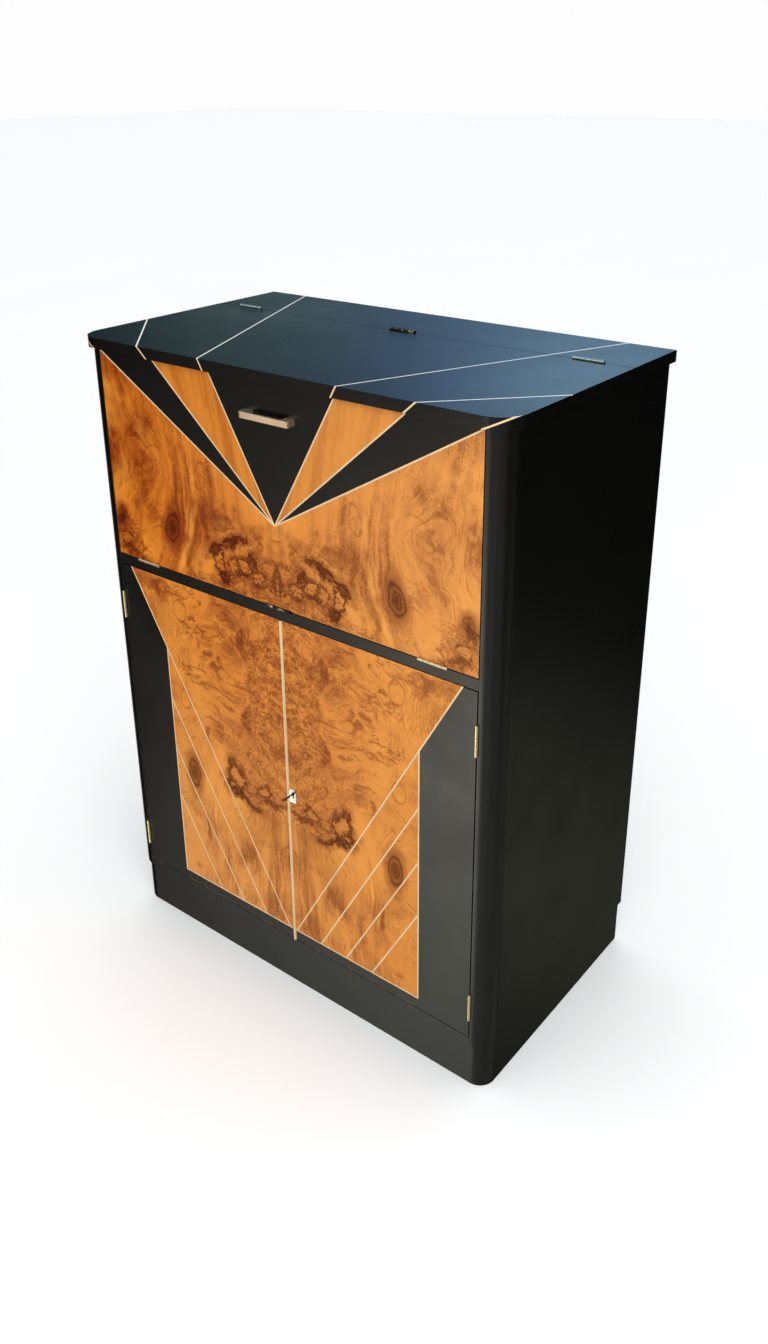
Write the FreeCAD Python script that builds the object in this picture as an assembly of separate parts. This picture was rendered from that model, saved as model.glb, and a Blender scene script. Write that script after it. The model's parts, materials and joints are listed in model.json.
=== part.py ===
import FreeCAD, Part
import math
import os
from FreeCAD import Vector

# Cocktail cabinet with a lift-up lid, a drop flap and two doors.
# Millimetres, +Z up, +Y to the back, +X to the right as seen from the front.
# Pieces are built with y = 0 on the front face of the flap and the doors.
# The saved pieces are moved so that the origin is under the middle of the whole.

# Overall sizes
overall_width = 820.0
total_height = 1115.0
carcass_depth = 451.0

# Top slab, split into a hinged lid and a fixed strip behind it
slab_thickness = 18.0
top_side_overhang = 7.5
top_back_overhang = 4.0
lid_front_overhang = 9.0
top_corner_radius = 41.0
lid_seam_depth = 317.0
lid_seam_gap = 1.4
lid_rest_gap = 0.3

# Carcass boards
side_thickness = 18.0
post_width = 33.0
post_flat = 0.5
back_thickness = 6.0
back_rebate = 8.5
bottom_thickness = 14.0
rail_height = 18.0
rail_depth = 33.0
bar_floor_thickness = 20.0
bar_floor_setback = 1.0
stop_width = 12.0
stop_height = 15.0
stop_gap = 0.6

# Plinth
plinth_height = 85.0
plinth_inset = 4.0
plinth_board = 18.0

# Flap and doors
panel_thickness = 18.0
panel_side_gap = 1.5
flap_bottom_gap = 1.4
flap_top_gap = 1.3
flap_height = 352.6
door_bottom_gap = 1.2
door_meeting_gap = 1.6

# Inlay of veneer fields and pale lines
inlay_depth = 0.8
line_width = 2.5
ray_vertex_share = 0.383
ray_top_shares = (1.0 / 3.0, 2.0 / 3.0, 1.0)
field_side_margin = 99.0
field_top_margin = 25.0
field_bottom_margin = 21.0
diagonal_foot = 7.6
diagonal_spacing = 55.8
diagonal_count = 4
top_inner_line_inset = 79.0
top_outer_line_depth = 140.0
corner_line_run = 36.0
corner_line_start = 1.0

# Centre bead on the right door
bead_width = 5.5
bead_height = 3.0
bead_edge_clearance = 0.5

# Butt hinges
hinge_length = 51.0
knuckle_radius = 2.6
pin_radius = 1.3
pin_clearance = 0.05
leaf_thickness = 1.2
leaf_gap = 0.3
leaf_width = 15.0
knuckle_count = 5
knuckle_gap = 0.3
notch_clearance = 0.4
axis_standoff = 1.6
lid_hinge_inset = 73.0
flap_hinge_inset = 75.0
door_hinge_rise = 61.8
door_hinge_drop = 77.2

# Bar handle on the flap
handle_length = 97.0
handle_height = 10.0
handle_reach = 16.0
handle_bar_thickness = 4.0
handle_foot = 16.0
handle_top_drop = 44.0
handle_bevel_run = 6.0
handle_bevel_rise = 1.4
screw_radius = 2.0
screw_head_radius = 4.0
screw_head_height = 2.4
screw_bite = 6.0

# Lock, escutcheon and key in the right door
key_rise = 307.8
key_offset = 13.5
escutcheon_width = 14.5
escutcheon_rise = 9.5
escutcheon_drop = 18.5
escutcheon_thickness = 1.2
keyhole_radius = 2.9
keyhole_slot = 2.8
keyhole_drop = 9.0
key_shank_radius = 1.4
key_reach = 25.6
key_inner_reach = 15.5
key_bow_length = 10.0
key_bow_width = 7.0
key_bow_thickness = 1.8
key_bow_hole_radius = 1.5
key_bit_length = 6.0
key_bit_thickness = 1.8
key_bit_width = 3.4
key_pin_radius = 0.7
key_pin_clearance = 0.08
key_pin_engagement = 6.0
lock_height = 44.0
lock_width = 26.0
lock_depth = 9.0
lock_wall = 1.2
lock_above_key = 28.0
bolt_height = 9.0
bolt_depth = 4.5
bolt_length = 20.0
bolt_rise = 8.5
bolt_clearance = 0.3
bolt_throw = 7.0
keep_thickness = 1.2
keep_border = 5.0
keep_pocket_depth = 9.0

# Small bolt that holds the left door at the bottom
rod_radius = 2.5
rod_length = 44.0
rod_clearance = 0.3
rod_travel = 9.0
rod_edge_distance = 30.0
rod_start_gap = 1.5
rod_knob_radius = 3.0
rod_knob_reach = 9.0
rod_standoff = 4.6
guide_width = 13.0
guide_height = 9.0
guide_plate = 1.4
guide_wall = 1.6

# Slotted stays of the flap and of the lid
stay_width = 13.0
stay_thickness = 2.0
stay_end_margin = 7.0
stay_stud_radius = 2.6
stay_slot_clearance = 0.4
stay_pivot_radius = 2.0
stay_pivot_clearance = 0.05
stay_plane_gap = 1.2
stay_head_radius = 4.6
stay_head_thickness = 1.4
stay_base_radius = 8.0
stay_base_thickness = 2.0
bracket_thickness = 2.2
bracket_foot = 12.0
bracket_width = 15.0
stay_pivot_reach = 9.6
flap_stay_inset = 3.0
flap_stay_height_share = 0.5615
flap_stay_stud_angle = 37.0
flap_open_angle = 90.0
lid_stay_inset = 8.0
lid_stay_distance_share = 0.376
lid_stay_stud_angle = 45.0
lid_open_angle = 95.0

# Shelf in the lower cupboard
shelf_thickness = 16.0
shelf_rise = 321.0
shelf_setback = 14.0
shelf_side_gap = 1.0
shelf_pin_radius = 2.5
shelf_pin_length = 18.0
shelf_pin_depth = 9.0
shelf_pin_margin = 40.0

# One overrun for cutting tools that pass through a face
overrun = 5.0

X = Vector(1, 0, 0)
Y = Vector(0, 1, 0)
Z = Vector(0, 0, 1)

# Places that follow from the sizes above
half_top = overall_width / 2
carcass_half = half_top - top_side_overhang
post_inner = carcass_half - post_width
side_inner = carcass_half - side_thickness
post_radius = post_width - post_flat
top_back = carcass_depth + top_back_overhang
slab_bottom = total_height - slab_thickness
back_front = carcass_depth - back_thickness
panel_half = post_inner - panel_side_gap
bottom_top = plinth_height + bottom_thickness
door_bottom = bottom_top + door_bottom_gap
flap_top = slab_bottom - flap_top_gap
flap_bottom = flap_top - flap_height
rail_top = flap_bottom - flap_bottom_gap
rail_bottom = rail_top - rail_height
door_top = rail_bottom - panel_side_gap
door_height = door_top - door_bottom
key_height = door_bottom + key_rise
shelf_level = bottom_top + shelf_rise
bar_floor_top = rail_top + bar_floor_thickness
door_edge = door_meeting_gap / 2
compartment_height = slab_bottom - bar_floor_top
flap_hinge_spread = panel_half - flap_hinge_inset
lid_hinge_spread = half_top - lid_hinge_inset
door_hinge_low = door_bottom + door_hinge_rise
door_hinge_high = door_top - door_hinge_drop
field_half_width = panel_half - field_side_margin
field_top_half_width = panel_half - field_top_margin
flap_axis_z = (rail_top + flap_bottom) / 2
door_axis_x = (post_inner + panel_half) / 2
lid_axis_z = total_height + axis_standoff
pin_bore = pin_radius + pin_clearance
front_most = -key_reach
depth_shift = -(front_most + top_back) / 2

nodes = []


def save(name, shapes):
    """Moves the pieces to the final place and writes them as one file."""
    if not isinstance(shapes, (list, tuple)):
        shapes = [shapes]
    solids = []
    for shape in shapes:
        placed = shape.copy()
        placed.translate(Vector(0, depth_shift, 0))
        solids.extend(placed.Solids)
    whole = solids[0] if len(solids) == 1 else Part.makeCompound(solids)
    whole.exportStep("parts/" + name + ".step")
    box_now = whole.BoundBox
    nodes.append(name)
    print("%-30s %2d solids, volume %10.1f, valid %s, z %.1f to %.1f"
          % (name, len(solids), whole.Volume, whole.isValid(), box_now.ZMin, box_now.ZMax))


def box(x0, x1, y0, y1, z0, z1):
    """Box between two corners."""
    return Part.makeBox(x1 - x0, y1 - y0, z1 - z0, Vector(x0, y0, z0))


def mirrored(shape):
    """The same piece on the other side of the middle."""
    return shape.mirror(Vector(0, 0, 0), X)


def both(shape):
    return [shape, mirrored(shape)]


def cylinder(radius, length, start, direction):
    return Part.makeCylinder(radius, length, start, direction)


def closed_face(points):
    """Flat face inside a closed run of points."""
    return Part.Face(Part.makePolygon(points + [points[0]]))


def front_prism(points, y0, depth):
    """Solid with an (x, z) outline, pushed back from y0."""
    outline = [Vector(x, y0, z) for x, z in points]
    return closed_face(outline).extrude(Vector(0, depth, 0))


def level_prism(points, z0, height):
    """Solid with an (x, y) outline, raised from z0."""
    outline = [Vector(x, y, z0) for x, y in points]
    return closed_face(outline).extrude(Vector(0, 0, height))


def strip_points(start, end, width, extra_start, extra_end):
    """Corners of a straight strip along the line from start to end."""
    run = math.hypot(end[0] - start[0], end[1] - start[1])
    ux = (end[0] - start[0]) / run
    uz = (end[1] - start[1]) / run
    half = width / 2
    ax = start[0] - ux * extra_start
    az = start[1] - uz * extra_start
    bx = end[0] + ux * extra_end
    bz = end[1] + uz * extra_end
    return [(ax - uz * half, az + ux * half), (ax + uz * half, az - ux * half),
            (bx + uz * half, bz - ux * half), (bx - uz * half, bz + ux * half)]


def fuse_all(shapes):
    whole = shapes[0]
    if len(shapes) > 1:
        whole = whole.multiFuse(shapes[1:])
    return whole.removeSplitter()


def rounded_front_outline(half, front, back, radius, z):
    """Outline with square back corners and rounded front corners."""
    turn = radius * (1 - math.sqrt(0.5))
    right_side = Vector(half, front + radius, z)
    right_front = Vector(half - radius, front, z)
    left_front = Vector(-half + radius, front, z)
    left_side = Vector(-half, front + radius, z)
    edges = [
        Part.LineSegment(Vector(half, back, z), right_side).toShape(),
        Part.Arc(right_side, Vector(half - turn, front + turn, z), right_front).toShape(),
        Part.LineSegment(right_front, left_front).toShape(),
        Part.Arc(left_front, Vector(-half + turn, front + turn, z), left_side).toShape(),
        Part.LineSegment(left_side, Vector(-half, back, z)).toShape(),
        Part.LineSegment(Vector(-half, back, z), Vector(half, back, z)).toShape(),
    ]
    return Part.Wire(edges)


def quarter_post(half, front, size, radius, z0, height):
    """Right-hand post with a square section and one large rounded corner."""
    turn = radius * (1 - math.sqrt(0.5))
    inner = half - size
    back = front + size
    side_point = Vector(half, front + radius, z0)
    front_point = Vector(half - radius, front, z0)
    edges = [
        Part.Arc(side_point, Vector(half - turn, front + turn, z0), front_point).toShape(),
        Part.LineSegment(front_point, Vector(inner, front, z0)).toShape(),
        Part.LineSegment(Vector(inner, front, z0), Vector(inner, back, z0)).toShape(),
        Part.LineSegment(Vector(inner, back, z0), Vector(half, back, z0)).toShape(),
        Part.LineSegment(Vector(half, back, z0), side_point).toShape(),
    ]
    return Part.Face(Part.Wire(edges)).extrude(Vector(0, 0, height))


# Butt hinge, in its own frame: the axis is local Z, the leaves reach along local Y.
# The moving leaf lies on the side of local -X, the fixed leaf on the side of +X.
knuckle_pitch = hinge_length / knuckle_count
leaf_start = knuckle_radius + knuckle_gap
leaf_far = leaf_gap / 2 + leaf_thickness


def hinge_leaf(side, first):
    """One leaf with its own knuckles; side is -1 or +1."""
    near = side * leaf_gap / 2
    far = side * leaf_far
    x0, x1 = min(near, far), max(near, far)
    pieces = [box(x0, x1, leaf_start, leaf_width, 0, hinge_length)]
    for index in range(first, knuckle_count, 2):
        low = index * knuckle_pitch
        high = low + knuckle_pitch
        if index > 0:
            low += knuckle_gap / 2
        if index < knuckle_count - 1:
            high -= knuckle_gap / 2
        barrel = cylinder(knuckle_radius, high - low, Vector(0, 0, low), Z)
        tab = box(x0, x1, (pin_bore + knuckle_radius) / 2, leaf_start + leaf_thickness, low, high)
        pieces.extend([barrel, tab])
    whole = fuse_all(pieces)
    bore = cylinder(pin_bore, hinge_length + 2 * overrun, Vector(0, 0, -overrun), Z)
    return whole.cut(bore)


def hinge_pin():
    return cylinder(pin_radius, hinge_length, Vector(0, 0, 0), Z)


def hinge_mortise(side):
    """Space that one board gives up to a leaf and to the knuckles."""
    far = side * leaf_far
    x0, x1 = min(0, far), max(0, far)
    seat = box(x0, x1, knuckle_radius, leaf_width, 0, hinge_length)
    notch = cylinder(knuckle_radius + notch_clearance, hinge_length + 2 * notch_clearance,
                     Vector(0, 0, -notch_clearance), Z)
    return seat.fuse(notch)


def axes_placement(origin, local_x, local_y, local_z):
    """Placement that sends the local axes to the three given directions."""
    matrix = FreeCAD.Matrix(
        local_x.x, local_y.x, local_z.x, origin.x,
        local_x.y, local_y.y, local_z.y, origin.y,
        local_x.z, local_y.z, local_z.z, origin.z,
        0, 0, 0, 1)
    return FreeCAD.Placement(matrix)


def placed(shape, placement):
    moved = shape.copy()
    moved.Placement = placement.multiply(moved.Placement)
    return moved


# Places of the hinges
def flap_hinge_place(x):
    return axes_placement(Vector(x - hinge_length / 2, -axis_standoff, flap_axis_z), -Z, Y, X)


def lid_hinge_place(x):
    return axes_placement(Vector(x + hinge_length / 2, lid_seam_depth, lid_axis_z), Y, -Z, -X)


def right_door_hinge_place(z):
    return axes_placement(Vector(door_axis_x, -axis_standoff, z - hinge_length / 2), X, Y, Z)


def left_door_hinge_place(z):
    return axes_placement(Vector(-door_axis_x, -axis_standoff, z + hinge_length / 2), -X, Y, -Z)


flap_places = [flap_hinge_place(x) for x in (-flap_hinge_spread, flap_hinge_spread)]
flap_middle_place = flap_hinge_place(0)
lid_places = [lid_hinge_place(x) for x in (-lid_hinge_spread, lid_hinge_spread)]
lid_middle_place = lid_hinge_place(0)
right_places = [right_door_hinge_place(z) for z in (door_hinge_low, door_hinge_high)]
left_places = [left_door_hinge_place(z) for z in (door_hinge_low, door_hinge_high)]

fixed_leaf = hinge_leaf(1, 0)
moving_leaf = hinge_leaf(-1, 1)
pin = hinge_pin()
fixed_mortise = hinge_mortise(1)
moving_mortise = hinge_mortise(-1)
all_flap_places = flap_places + [flap_middle_place]
all_lid_places = lid_places + [lid_middle_place]


def cut_all(shape, tools):
    return shape.cut(Part.makeCompound(tools)) if tools else shape


# Stays: one slotted arm turns on a pivot that moves with its panel and slides on a fixed stud.
# Pivot and stud lie at the same distance from the panel's axis, so the arm turns half as far.
# Points are (y, z) pairs.
def polar(centre, distance, direction, angle):
    """Point at an angle (degrees) from a (y, z) direction, turning up-to-back or front-to-down."""
    turn = math.radians(angle)
    side = (direction[1], -direction[0])
    if direction[0] < 0:
        side = (0, -1)
    return (centre[0] + distance * (direction[0] * math.cos(turn) + side[0] * math.sin(turn)),
            centre[1] + distance * (direction[1] * math.cos(turn) + side[1] * math.sin(turn)))


flap_axis = (-axis_standoff, flap_axis_z)
flap_pivot = (panel_thickness + stay_pivot_reach, flap_axis_z + flap_height * flap_stay_height_share)
flap_stay_radius = math.hypot(flap_pivot[0] - flap_axis[0], flap_pivot[1] - flap_axis[1])
flap_stud = polar(flap_axis, flap_stay_radius, (0, 1), flap_stay_stud_angle)

lid_axis = (lid_seam_depth, lid_axis_z)
lid_pivot = (lid_seam_depth - compartment_height * lid_stay_distance_share, slab_bottom + lid_rest_gap - stay_pivot_reach)
lid_stay_radius = math.hypot(lid_pivot[0] - lid_axis[0], lid_pivot[1] - lid_axis[1])
lid_stud = polar(lid_axis, lid_stay_radius, (-1, 0), lid_stay_stud_angle)


def chord(axis, pivot, stud, opening):
    """Distance from pivot to stud at rest and with the panel open."""
    radius = math.hypot(pivot[0] - axis[0], pivot[1] - axis[1])
    closed = math.hypot(pivot[0] - stud[0], pivot[1] - stud[1])
    half_turn = math.asin(closed / (2 * radius)) + math.radians(opening) / 2
    return closed, 2 * radius * math.sin(half_turn)


def obround(start, end, radius, x0, x1):
    """Bar with round ends between two (y, z) points."""
    run = math.hypot(end[0] - start[0], end[1] - start[1])
    dy = (end[0] - start[0]) / run * radius
    dz = (end[1] - start[1]) / run * radius
    a_left = Vector(x0, start[0] - dz, start[1] + dy)
    a_back = Vector(x0, start[0] - dy, start[1] - dz)
    a_right = Vector(x0, start[0] + dz, start[1] - dy)
    b_right = Vector(x0, end[0] + dz, end[1] - dy)
    b_tip = Vector(x0, end[0] + dy, end[1] + dz)
    b_left = Vector(x0, end[0] - dz, end[1] + dy)
    edges = [
        Part.Arc(a_left, a_back, a_right).toShape(),
        Part.LineSegment(a_right, b_right).toShape(),
        Part.Arc(b_right, b_tip, b_left).toShape(),
        Part.LineSegment(b_left, a_left).toShape(),
    ]
    return Part.Face(Part.Wire(edges)).extrude(Vector(x1 - x0, 0, 0))


def stay_arm(axis, pivot, stud, opening, x0):
    closed, far = chord(axis, pivot, stud, opening)
    dy = (stud[0] - pivot[0]) / closed
    dz = (stud[1] - pivot[1]) / closed
    tip = far + stay_stud_radius + stay_end_margin
    end = (pivot[0] + dy * tip, pivot[1] + dz * tip)
    x1 = x0 + stay_thickness
    arm = obround(pivot, end, stay_width / 2, x0, x1)
    slot_end = (pivot[0] + dy * far, pivot[1] + dz * far)
    slot = obround(stud, slot_end, stay_stud_radius + stay_slot_clearance, x0 - overrun, x1 + overrun)
    hole = cylinder(stay_pivot_radius + stay_pivot_clearance, stay_thickness + 2 * overrun,
                    Vector(x0 - overrun, pivot[0], pivot[1]), X)
    return arm.cut(slot).cut(hole)


def stay_pin(point, x_from, x_to, radius, head_side):
    """Pin from x_from to x_to with a round head beyond head_side."""
    low, high = min(x_from, x_to), max(x_from, x_to)
    shank = cylinder(radius, high - low, Vector(low, point[0], point[1]), X)
    head_x = head_side - stay_head_thickness if head_side == low else head_side
    head = cylinder(stay_head_radius, stay_head_thickness, Vector(head_x, point[0], point[1]), X)
    return shank.fuse(head)


flap_arm_x = post_inner - flap_stay_inset - stay_thickness
lid_arm_x = side_inner - lid_stay_inset - stay_thickness


# Carcass
side = box(side_inner, carcass_half, post_width, carcass_depth, plinth_height, slab_bottom)
side = side.cut(box(side_inner - overrun, side_inner + back_rebate, back_front, carcass_depth + overrun,
                    plinth_height - overrun, slab_bottom + overrun))
pin_front = post_width + shelf_pin_margin
pin_back = back_front - shelf_pin_margin
pin_height = shelf_level - shelf_pin_radius
shelf_pins = []
for pin_y in (pin_front, pin_back):
    start = Vector(side_inner + shelf_pin_depth - shelf_pin_length, pin_y, pin_height)
    shelf_pins.append(cylinder(shelf_pin_radius, shelf_pin_length, start, X))
side = cut_all(side, shelf_pins)
save("side_left", mirrored(side))
save("side_right", side)

post = quarter_post(carcass_half, 0, post_width, post_radius, plinth_height, slab_bottom - plinth_height)
post_right = cut_all(post, [placed(fixed_mortise, place) for place in right_places])
post_left = cut_all(mirrored(post), [placed(fixed_mortise, place) for place in left_places])
save("corner_post_left", post_left)
save("corner_post_right", post_right)

back_half = side_inner + back_rebate
save("back_panel", box(-back_half, back_half, back_front, carcass_depth, plinth_height, slab_bottom))


def full_depth_board(front, z0, z1):
    """Board between the sides, notched around the two posts."""
    board = box(-side_inner, side_inner, front, back_front, z0, z1)
    corner = box(post_inner, side_inner + overrun, front - overrun, post_width, z0 - overrun, z1 + overrun)
    return board.cut(corner).cut(mirrored(corner))


rod_x = -door_edge - rod_edge_distance
rod_y = panel_thickness + rod_standoff
rod_end = door_bottom + rod_start_gap
rod_hole = cylinder(rod_radius + rod_clearance, bottom_thickness + 2 * overrun,
                    Vector(rod_x, rod_y, plinth_height - overrun), Z)
save("bottom_board", full_depth_board(0, plinth_height, bottom_top).cut(rod_hole))

rail = box(-post_inner, post_inner, 0, rail_depth, rail_bottom, rail_top)
save("rail", cut_all(rail, [placed(fixed_mortise, place) for place in all_flap_places]))

floor_front = panel_thickness + bar_floor_setback
save("bar_floor", full_depth_board(floor_front, rail_top, bar_floor_top))

stop_front = panel_thickness + stop_gap
save("door_stop", box(-post_inner, post_inner, stop_front, stop_front + stop_width,
                      rail_bottom - stop_height, rail_bottom))

# Plinth
plinth_half = carcass_half - plinth_inset
plinth_front_y = plinth_inset
plinth_block = post_width - plinth_inset
plinth_back_y = carcass_depth - plinth_inset
block_back = plinth_front_y + plinth_block
block = quarter_post(plinth_half, plinth_front_y, plinth_block, post_radius - plinth_inset, 0, plinth_height)
save("plinth_corner_blocks", both(block))
save("plinth_front", box(-plinth_half + plinth_block, plinth_half - plinth_block, plinth_front_y,
                         plinth_front_y + plinth_board, 0, plinth_height))
save("plinth_sides", both(box(plinth_half - plinth_board, plinth_half, block_back,
                              plinth_back_y - plinth_board, 0, plinth_height)))
save("plinth_back", box(-plinth_half, plinth_half, plinth_back_y - plinth_board, plinth_back_y, 0, plinth_height))

# Shelf and its pins
shelf_half = side_inner - shelf_side_gap
shelf_front = stop_front + stop_width + shelf_setback
save("cupboard_shelf", box(-shelf_half, shelf_half, shelf_front, back_front - shelf_side_gap,
                           shelf_level, shelf_level + shelf_thickness))
save("shelf_pins", shelf_pins + [mirrored(piece) for piece in shelf_pins])

# Rays on the front: from one point on the flap up to its top edge and over the lid
vertex = (0, flap_bottom + flap_height * ray_vertex_share)
ray_tops = [(panel_half * share, flap_top) for share in ray_top_shares]


def ray_x(share, z):
    """Place of a ray at a height above the vertex."""
    return panel_half * share * (z - vertex[1]) / (flap_top - vertex[1])


# Top slab, lid and its pale lines
lid_bottom = slab_bottom + lid_rest_gap
lid_back = lid_seam_depth - lid_seam_gap / 2
strip_front = lid_seam_depth + lid_seam_gap / 2
slab_wire = rounded_front_outline(half_top, -lid_front_overhang, top_back, top_corner_radius, slab_bottom)
slab = Part.Face(slab_wire).extrude(Vector(0, 0, slab_thickness))
lid_space = box(-half_top - overrun, half_top + overrun, -lid_front_overhang - overrun, lid_back,
                lid_bottom, total_height + overrun)
strip_space = box(-half_top - overrun, half_top + overrun, strip_front, top_back + overrun,
                  slab_bottom - overrun, total_height + overrun)

inner_share, outer_share, edge_share = ray_top_shares
inner_front = ray_x(inner_share, total_height)
outer_front = ray_x(outer_share, total_height)
top_lines = []
for start, end in (((inner_front, -lid_front_overhang), (half_top - top_inner_line_inset, top_back)),
                   ((outer_front, -lid_front_overhang), (half_top, top_outer_line_depth))):
    corners = strip_points(start, end, line_width, overrun, overrun)
    top_lines.append(level_prism(corners, total_height - inlay_depth, inlay_depth))
front_lines = []
for share in (inner_share, outer_share):
    low = (ray_x(share, lid_bottom), lid_bottom)
    high = (ray_x(share, total_height), total_height)
    front_lines.append(front_prism(strip_points(low, high, line_width, overrun, overrun),
                                   -lid_front_overhang, inlay_depth))
rim_wire = rounded_front_outline(half_top - inlay_depth, -lid_front_overhang + inlay_depth, top_back,
                                 top_corner_radius - inlay_depth, slab_bottom)
rim = slab.cut(Part.Face(rim_wire).extrude(Vector(0, 0, slab_thickness)))
corner_low = (panel_half + corner_line_start, lid_bottom)
corner_high = (panel_half + corner_line_start + corner_line_run, total_height)
corner_line = front_prism(strip_points(corner_low, corner_high, line_width, overrun, overrun),
                          -lid_front_overhang - overrun, top_corner_radius + overrun).common(rim)
right_lines = [piece.common(slab) for piece in top_lines + front_lines] + [corner_line]
slab_lines = fuse_all(right_lines + [mirrored(piece) for piece in right_lines])
lid_lines = slab_lines.common(lid_space)
strip_lines = slab_lines.common(strip_space)
lid_cutters = [placed(moving_mortise, place) for place in all_lid_places]
strip_cutters = [placed(fixed_mortise, place) for place in all_lid_places]
lid = cut_all(slab.common(lid_space), lid_cutters).cut(lid_lines)
save("lid", lid)
save("lid_lines", lid_lines)
top_strip = cut_all(slab.common(strip_space), strip_cutters).cut(strip_lines)
save("top_strip", top_strip)
save("top_strip_lines", strip_lines)

# Flap with rays and burl fields
flap_outline = [(-panel_half, flap_bottom), (panel_half, flap_bottom), (panel_half, flap_top), (-panel_half, flap_top)]
flap_face = front_prism(flap_outline, 0, inlay_depth)
rays = []
for top in ray_tops:
    for sign in (-1, 1):
        end = (sign * top[0], top[1])
        rays.append(front_prism(strip_points(vertex, end, line_width, 0, overrun), 0, inlay_depth))
flap_cutters = [placed(moving_mortise, place) for place in all_flap_places]
flap_lines = fuse_all(rays).common(flap_face)
main_field = front_prism([(-panel_half, flap_bottom), (panel_half, flap_bottom), ray_tops[2], vertex,
                          (-ray_tops[2][0], ray_tops[2][1])], 0, inlay_depth)
side_field = front_prism([ray_tops[0], ray_tops[1], vertex], 0, inlay_depth)
flap_fields = [main_field, side_field, mirrored(side_field)]
flap_recess = fuse_all(flap_fields + [flap_lines])
handle_z = flap_top - handle_top_drop - handle_height / 2
screw_x = handle_length / 2 - handle_foot / 2
screw_holes = []
for sign in (-1, 1):
    start = Vector(sign * screw_x, -overrun, handle_z)
    screw_holes.append(cylinder(screw_radius, panel_thickness + 2 * overrun, start, Y))
    head_start = Vector(sign * screw_x, panel_thickness - screw_head_height, handle_z)
    screw_holes.append(cylinder(screw_head_radius, screw_head_height + overrun, head_start, Y))
flap = cut_all(front_prism(flap_outline, 0, panel_thickness), flap_cutters + screw_holes)
save("flap", flap.cut(flap_recess))
save("flap_veneer", [cut_all(field.cut(flap_lines), flap_cutters) for field in flap_fields])
save("flap_lines", flap_lines)

# Handle: two feet and a flat bar with bevelled ends
grip_half = handle_length / 2 - handle_foot
low_z = handle_z - handle_height / 2
high_z = handle_z + handle_height / 2
handle_points = [
    (-handle_length / 2, 0),
    (-handle_length / 2, -handle_reach + handle_bevel_rise),
    (-handle_length / 2 + handle_bevel_run, -handle_reach),
    (handle_length / 2 - handle_bevel_run, -handle_reach),
    (handle_length / 2, -handle_reach + handle_bevel_rise),
    (handle_length / 2, 0),
    (grip_half, 0),
    (grip_half, -handle_reach + handle_bar_thickness),
    (-grip_half, -handle_reach + handle_bar_thickness),
    (-grip_half, 0),
]
handle = level_prism(handle_points, low_z, handle_height)
tapped = []
screws = []
for sign in (-1, 1):
    tapped.append(cylinder(screw_radius, screw_bite, Vector(sign * screw_x, -screw_bite, handle_z), Y))
    shank = cylinder(screw_radius, screw_bite + panel_thickness - screw_head_height,
                     Vector(sign * screw_x, -screw_bite, handle_z), Y)
    head = cylinder(screw_head_radius, screw_head_height,
                    Vector(sign * screw_x, panel_thickness - screw_head_height, handle_z), Y)
    screws.append(shank.fuse(head))
save("handle", cut_all(handle, tapped))
save("handle_screws", screws)

# Doors: burl field with a pale outline and parallel diagonals
field_low = door_bottom + field_bottom_margin
slope = (field_top_half_width - diagonal_foot) / (door_top - field_low)
junction = door_top - (field_top_half_width - field_half_width) / slope
field_points = [(door_edge, door_top), (field_top_half_width, door_top), (field_half_width, junction),
                (field_half_width, field_low), (door_edge, field_low)]
door_outline = [(door_edge, door_bottom), (panel_half, door_bottom), (panel_half, door_top), (door_edge, door_top)]
door_face = front_prism(door_outline, 0, inlay_depth)
line_runs = [(field_points[1], field_points[2]), (field_points[2], field_points[3]), (field_points[3], field_points[4])]
for index in range(diagonal_count):
    foot = diagonal_foot + index * diagonal_spacing
    line_runs.append(((foot, field_low), (field_half_width, field_low + (field_half_width - foot) / slope)))
half_line = line_width / 2
door_strips = []
for start, end in line_runs:
    extra = half_line if len(door_strips) < len(field_points) - 2 else 0
    door_strips.append(front_prism(strip_points(start, end, line_width, extra, extra), 0, inlay_depth))
door_lines = fuse_all(door_strips).common(door_face)
door_field = front_prism(field_points, 0, inlay_depth)
door_veneer = door_field.cut(door_lines)
door_recess = fuse_all([door_field, door_lines])
door_board = front_prism(door_outline, 0, panel_thickness)

# Lock in the right door
lock_low = key_height - lock_height + lock_above_key
lock_high = lock_low + lock_height
lock_front = panel_thickness - lock_depth
bolt_low = key_height + bolt_rise
bolt_high = bolt_low + bolt_height
bolt_front = lock_front + (lock_depth - bolt_depth) / 2
bolt_back = bolt_front + bolt_depth
lock_far = door_edge + lock_width
case = box(door_edge, lock_far, lock_front, panel_thickness, lock_low, lock_high)
cavity = box(door_edge + lock_wall, lock_far - lock_wall, lock_front + lock_wall, panel_thickness - lock_wall,
             lock_low + lock_wall, lock_high - lock_wall)
bolt_way = box(door_edge - overrun, door_edge + lock_wall + overrun, bolt_front - bolt_clearance,
               bolt_back + bolt_clearance, bolt_low - bolt_clearance, bolt_high + bolt_clearance)
key_way = cylinder(keyhole_radius, lock_wall + 2 * overrun, Vector(key_offset, lock_front - overrun, key_height), Y)
key_slot = box(key_offset - keyhole_slot / 2, key_offset + keyhole_slot / 2, lock_front - overrun,
               lock_front + lock_wall + overrun, key_height - keyhole_drop, key_height)
pin_tip = key_inner_reach - key_pin_engagement
key_pin = cylinder(key_pin_radius, panel_thickness - pin_tip, Vector(key_offset, pin_tip, key_height), Y)
hollow_case = case.cut(cavity).cut(bolt_way).cut(key_way).cut(key_slot)
save("lock_case", hollow_case.fuse(key_pin))
bolt_start = door_edge + bolt_clearance
save("lock_bolt", box(bolt_start, bolt_start + bolt_length, bolt_front, bolt_back, bolt_low, bolt_high))

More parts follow.
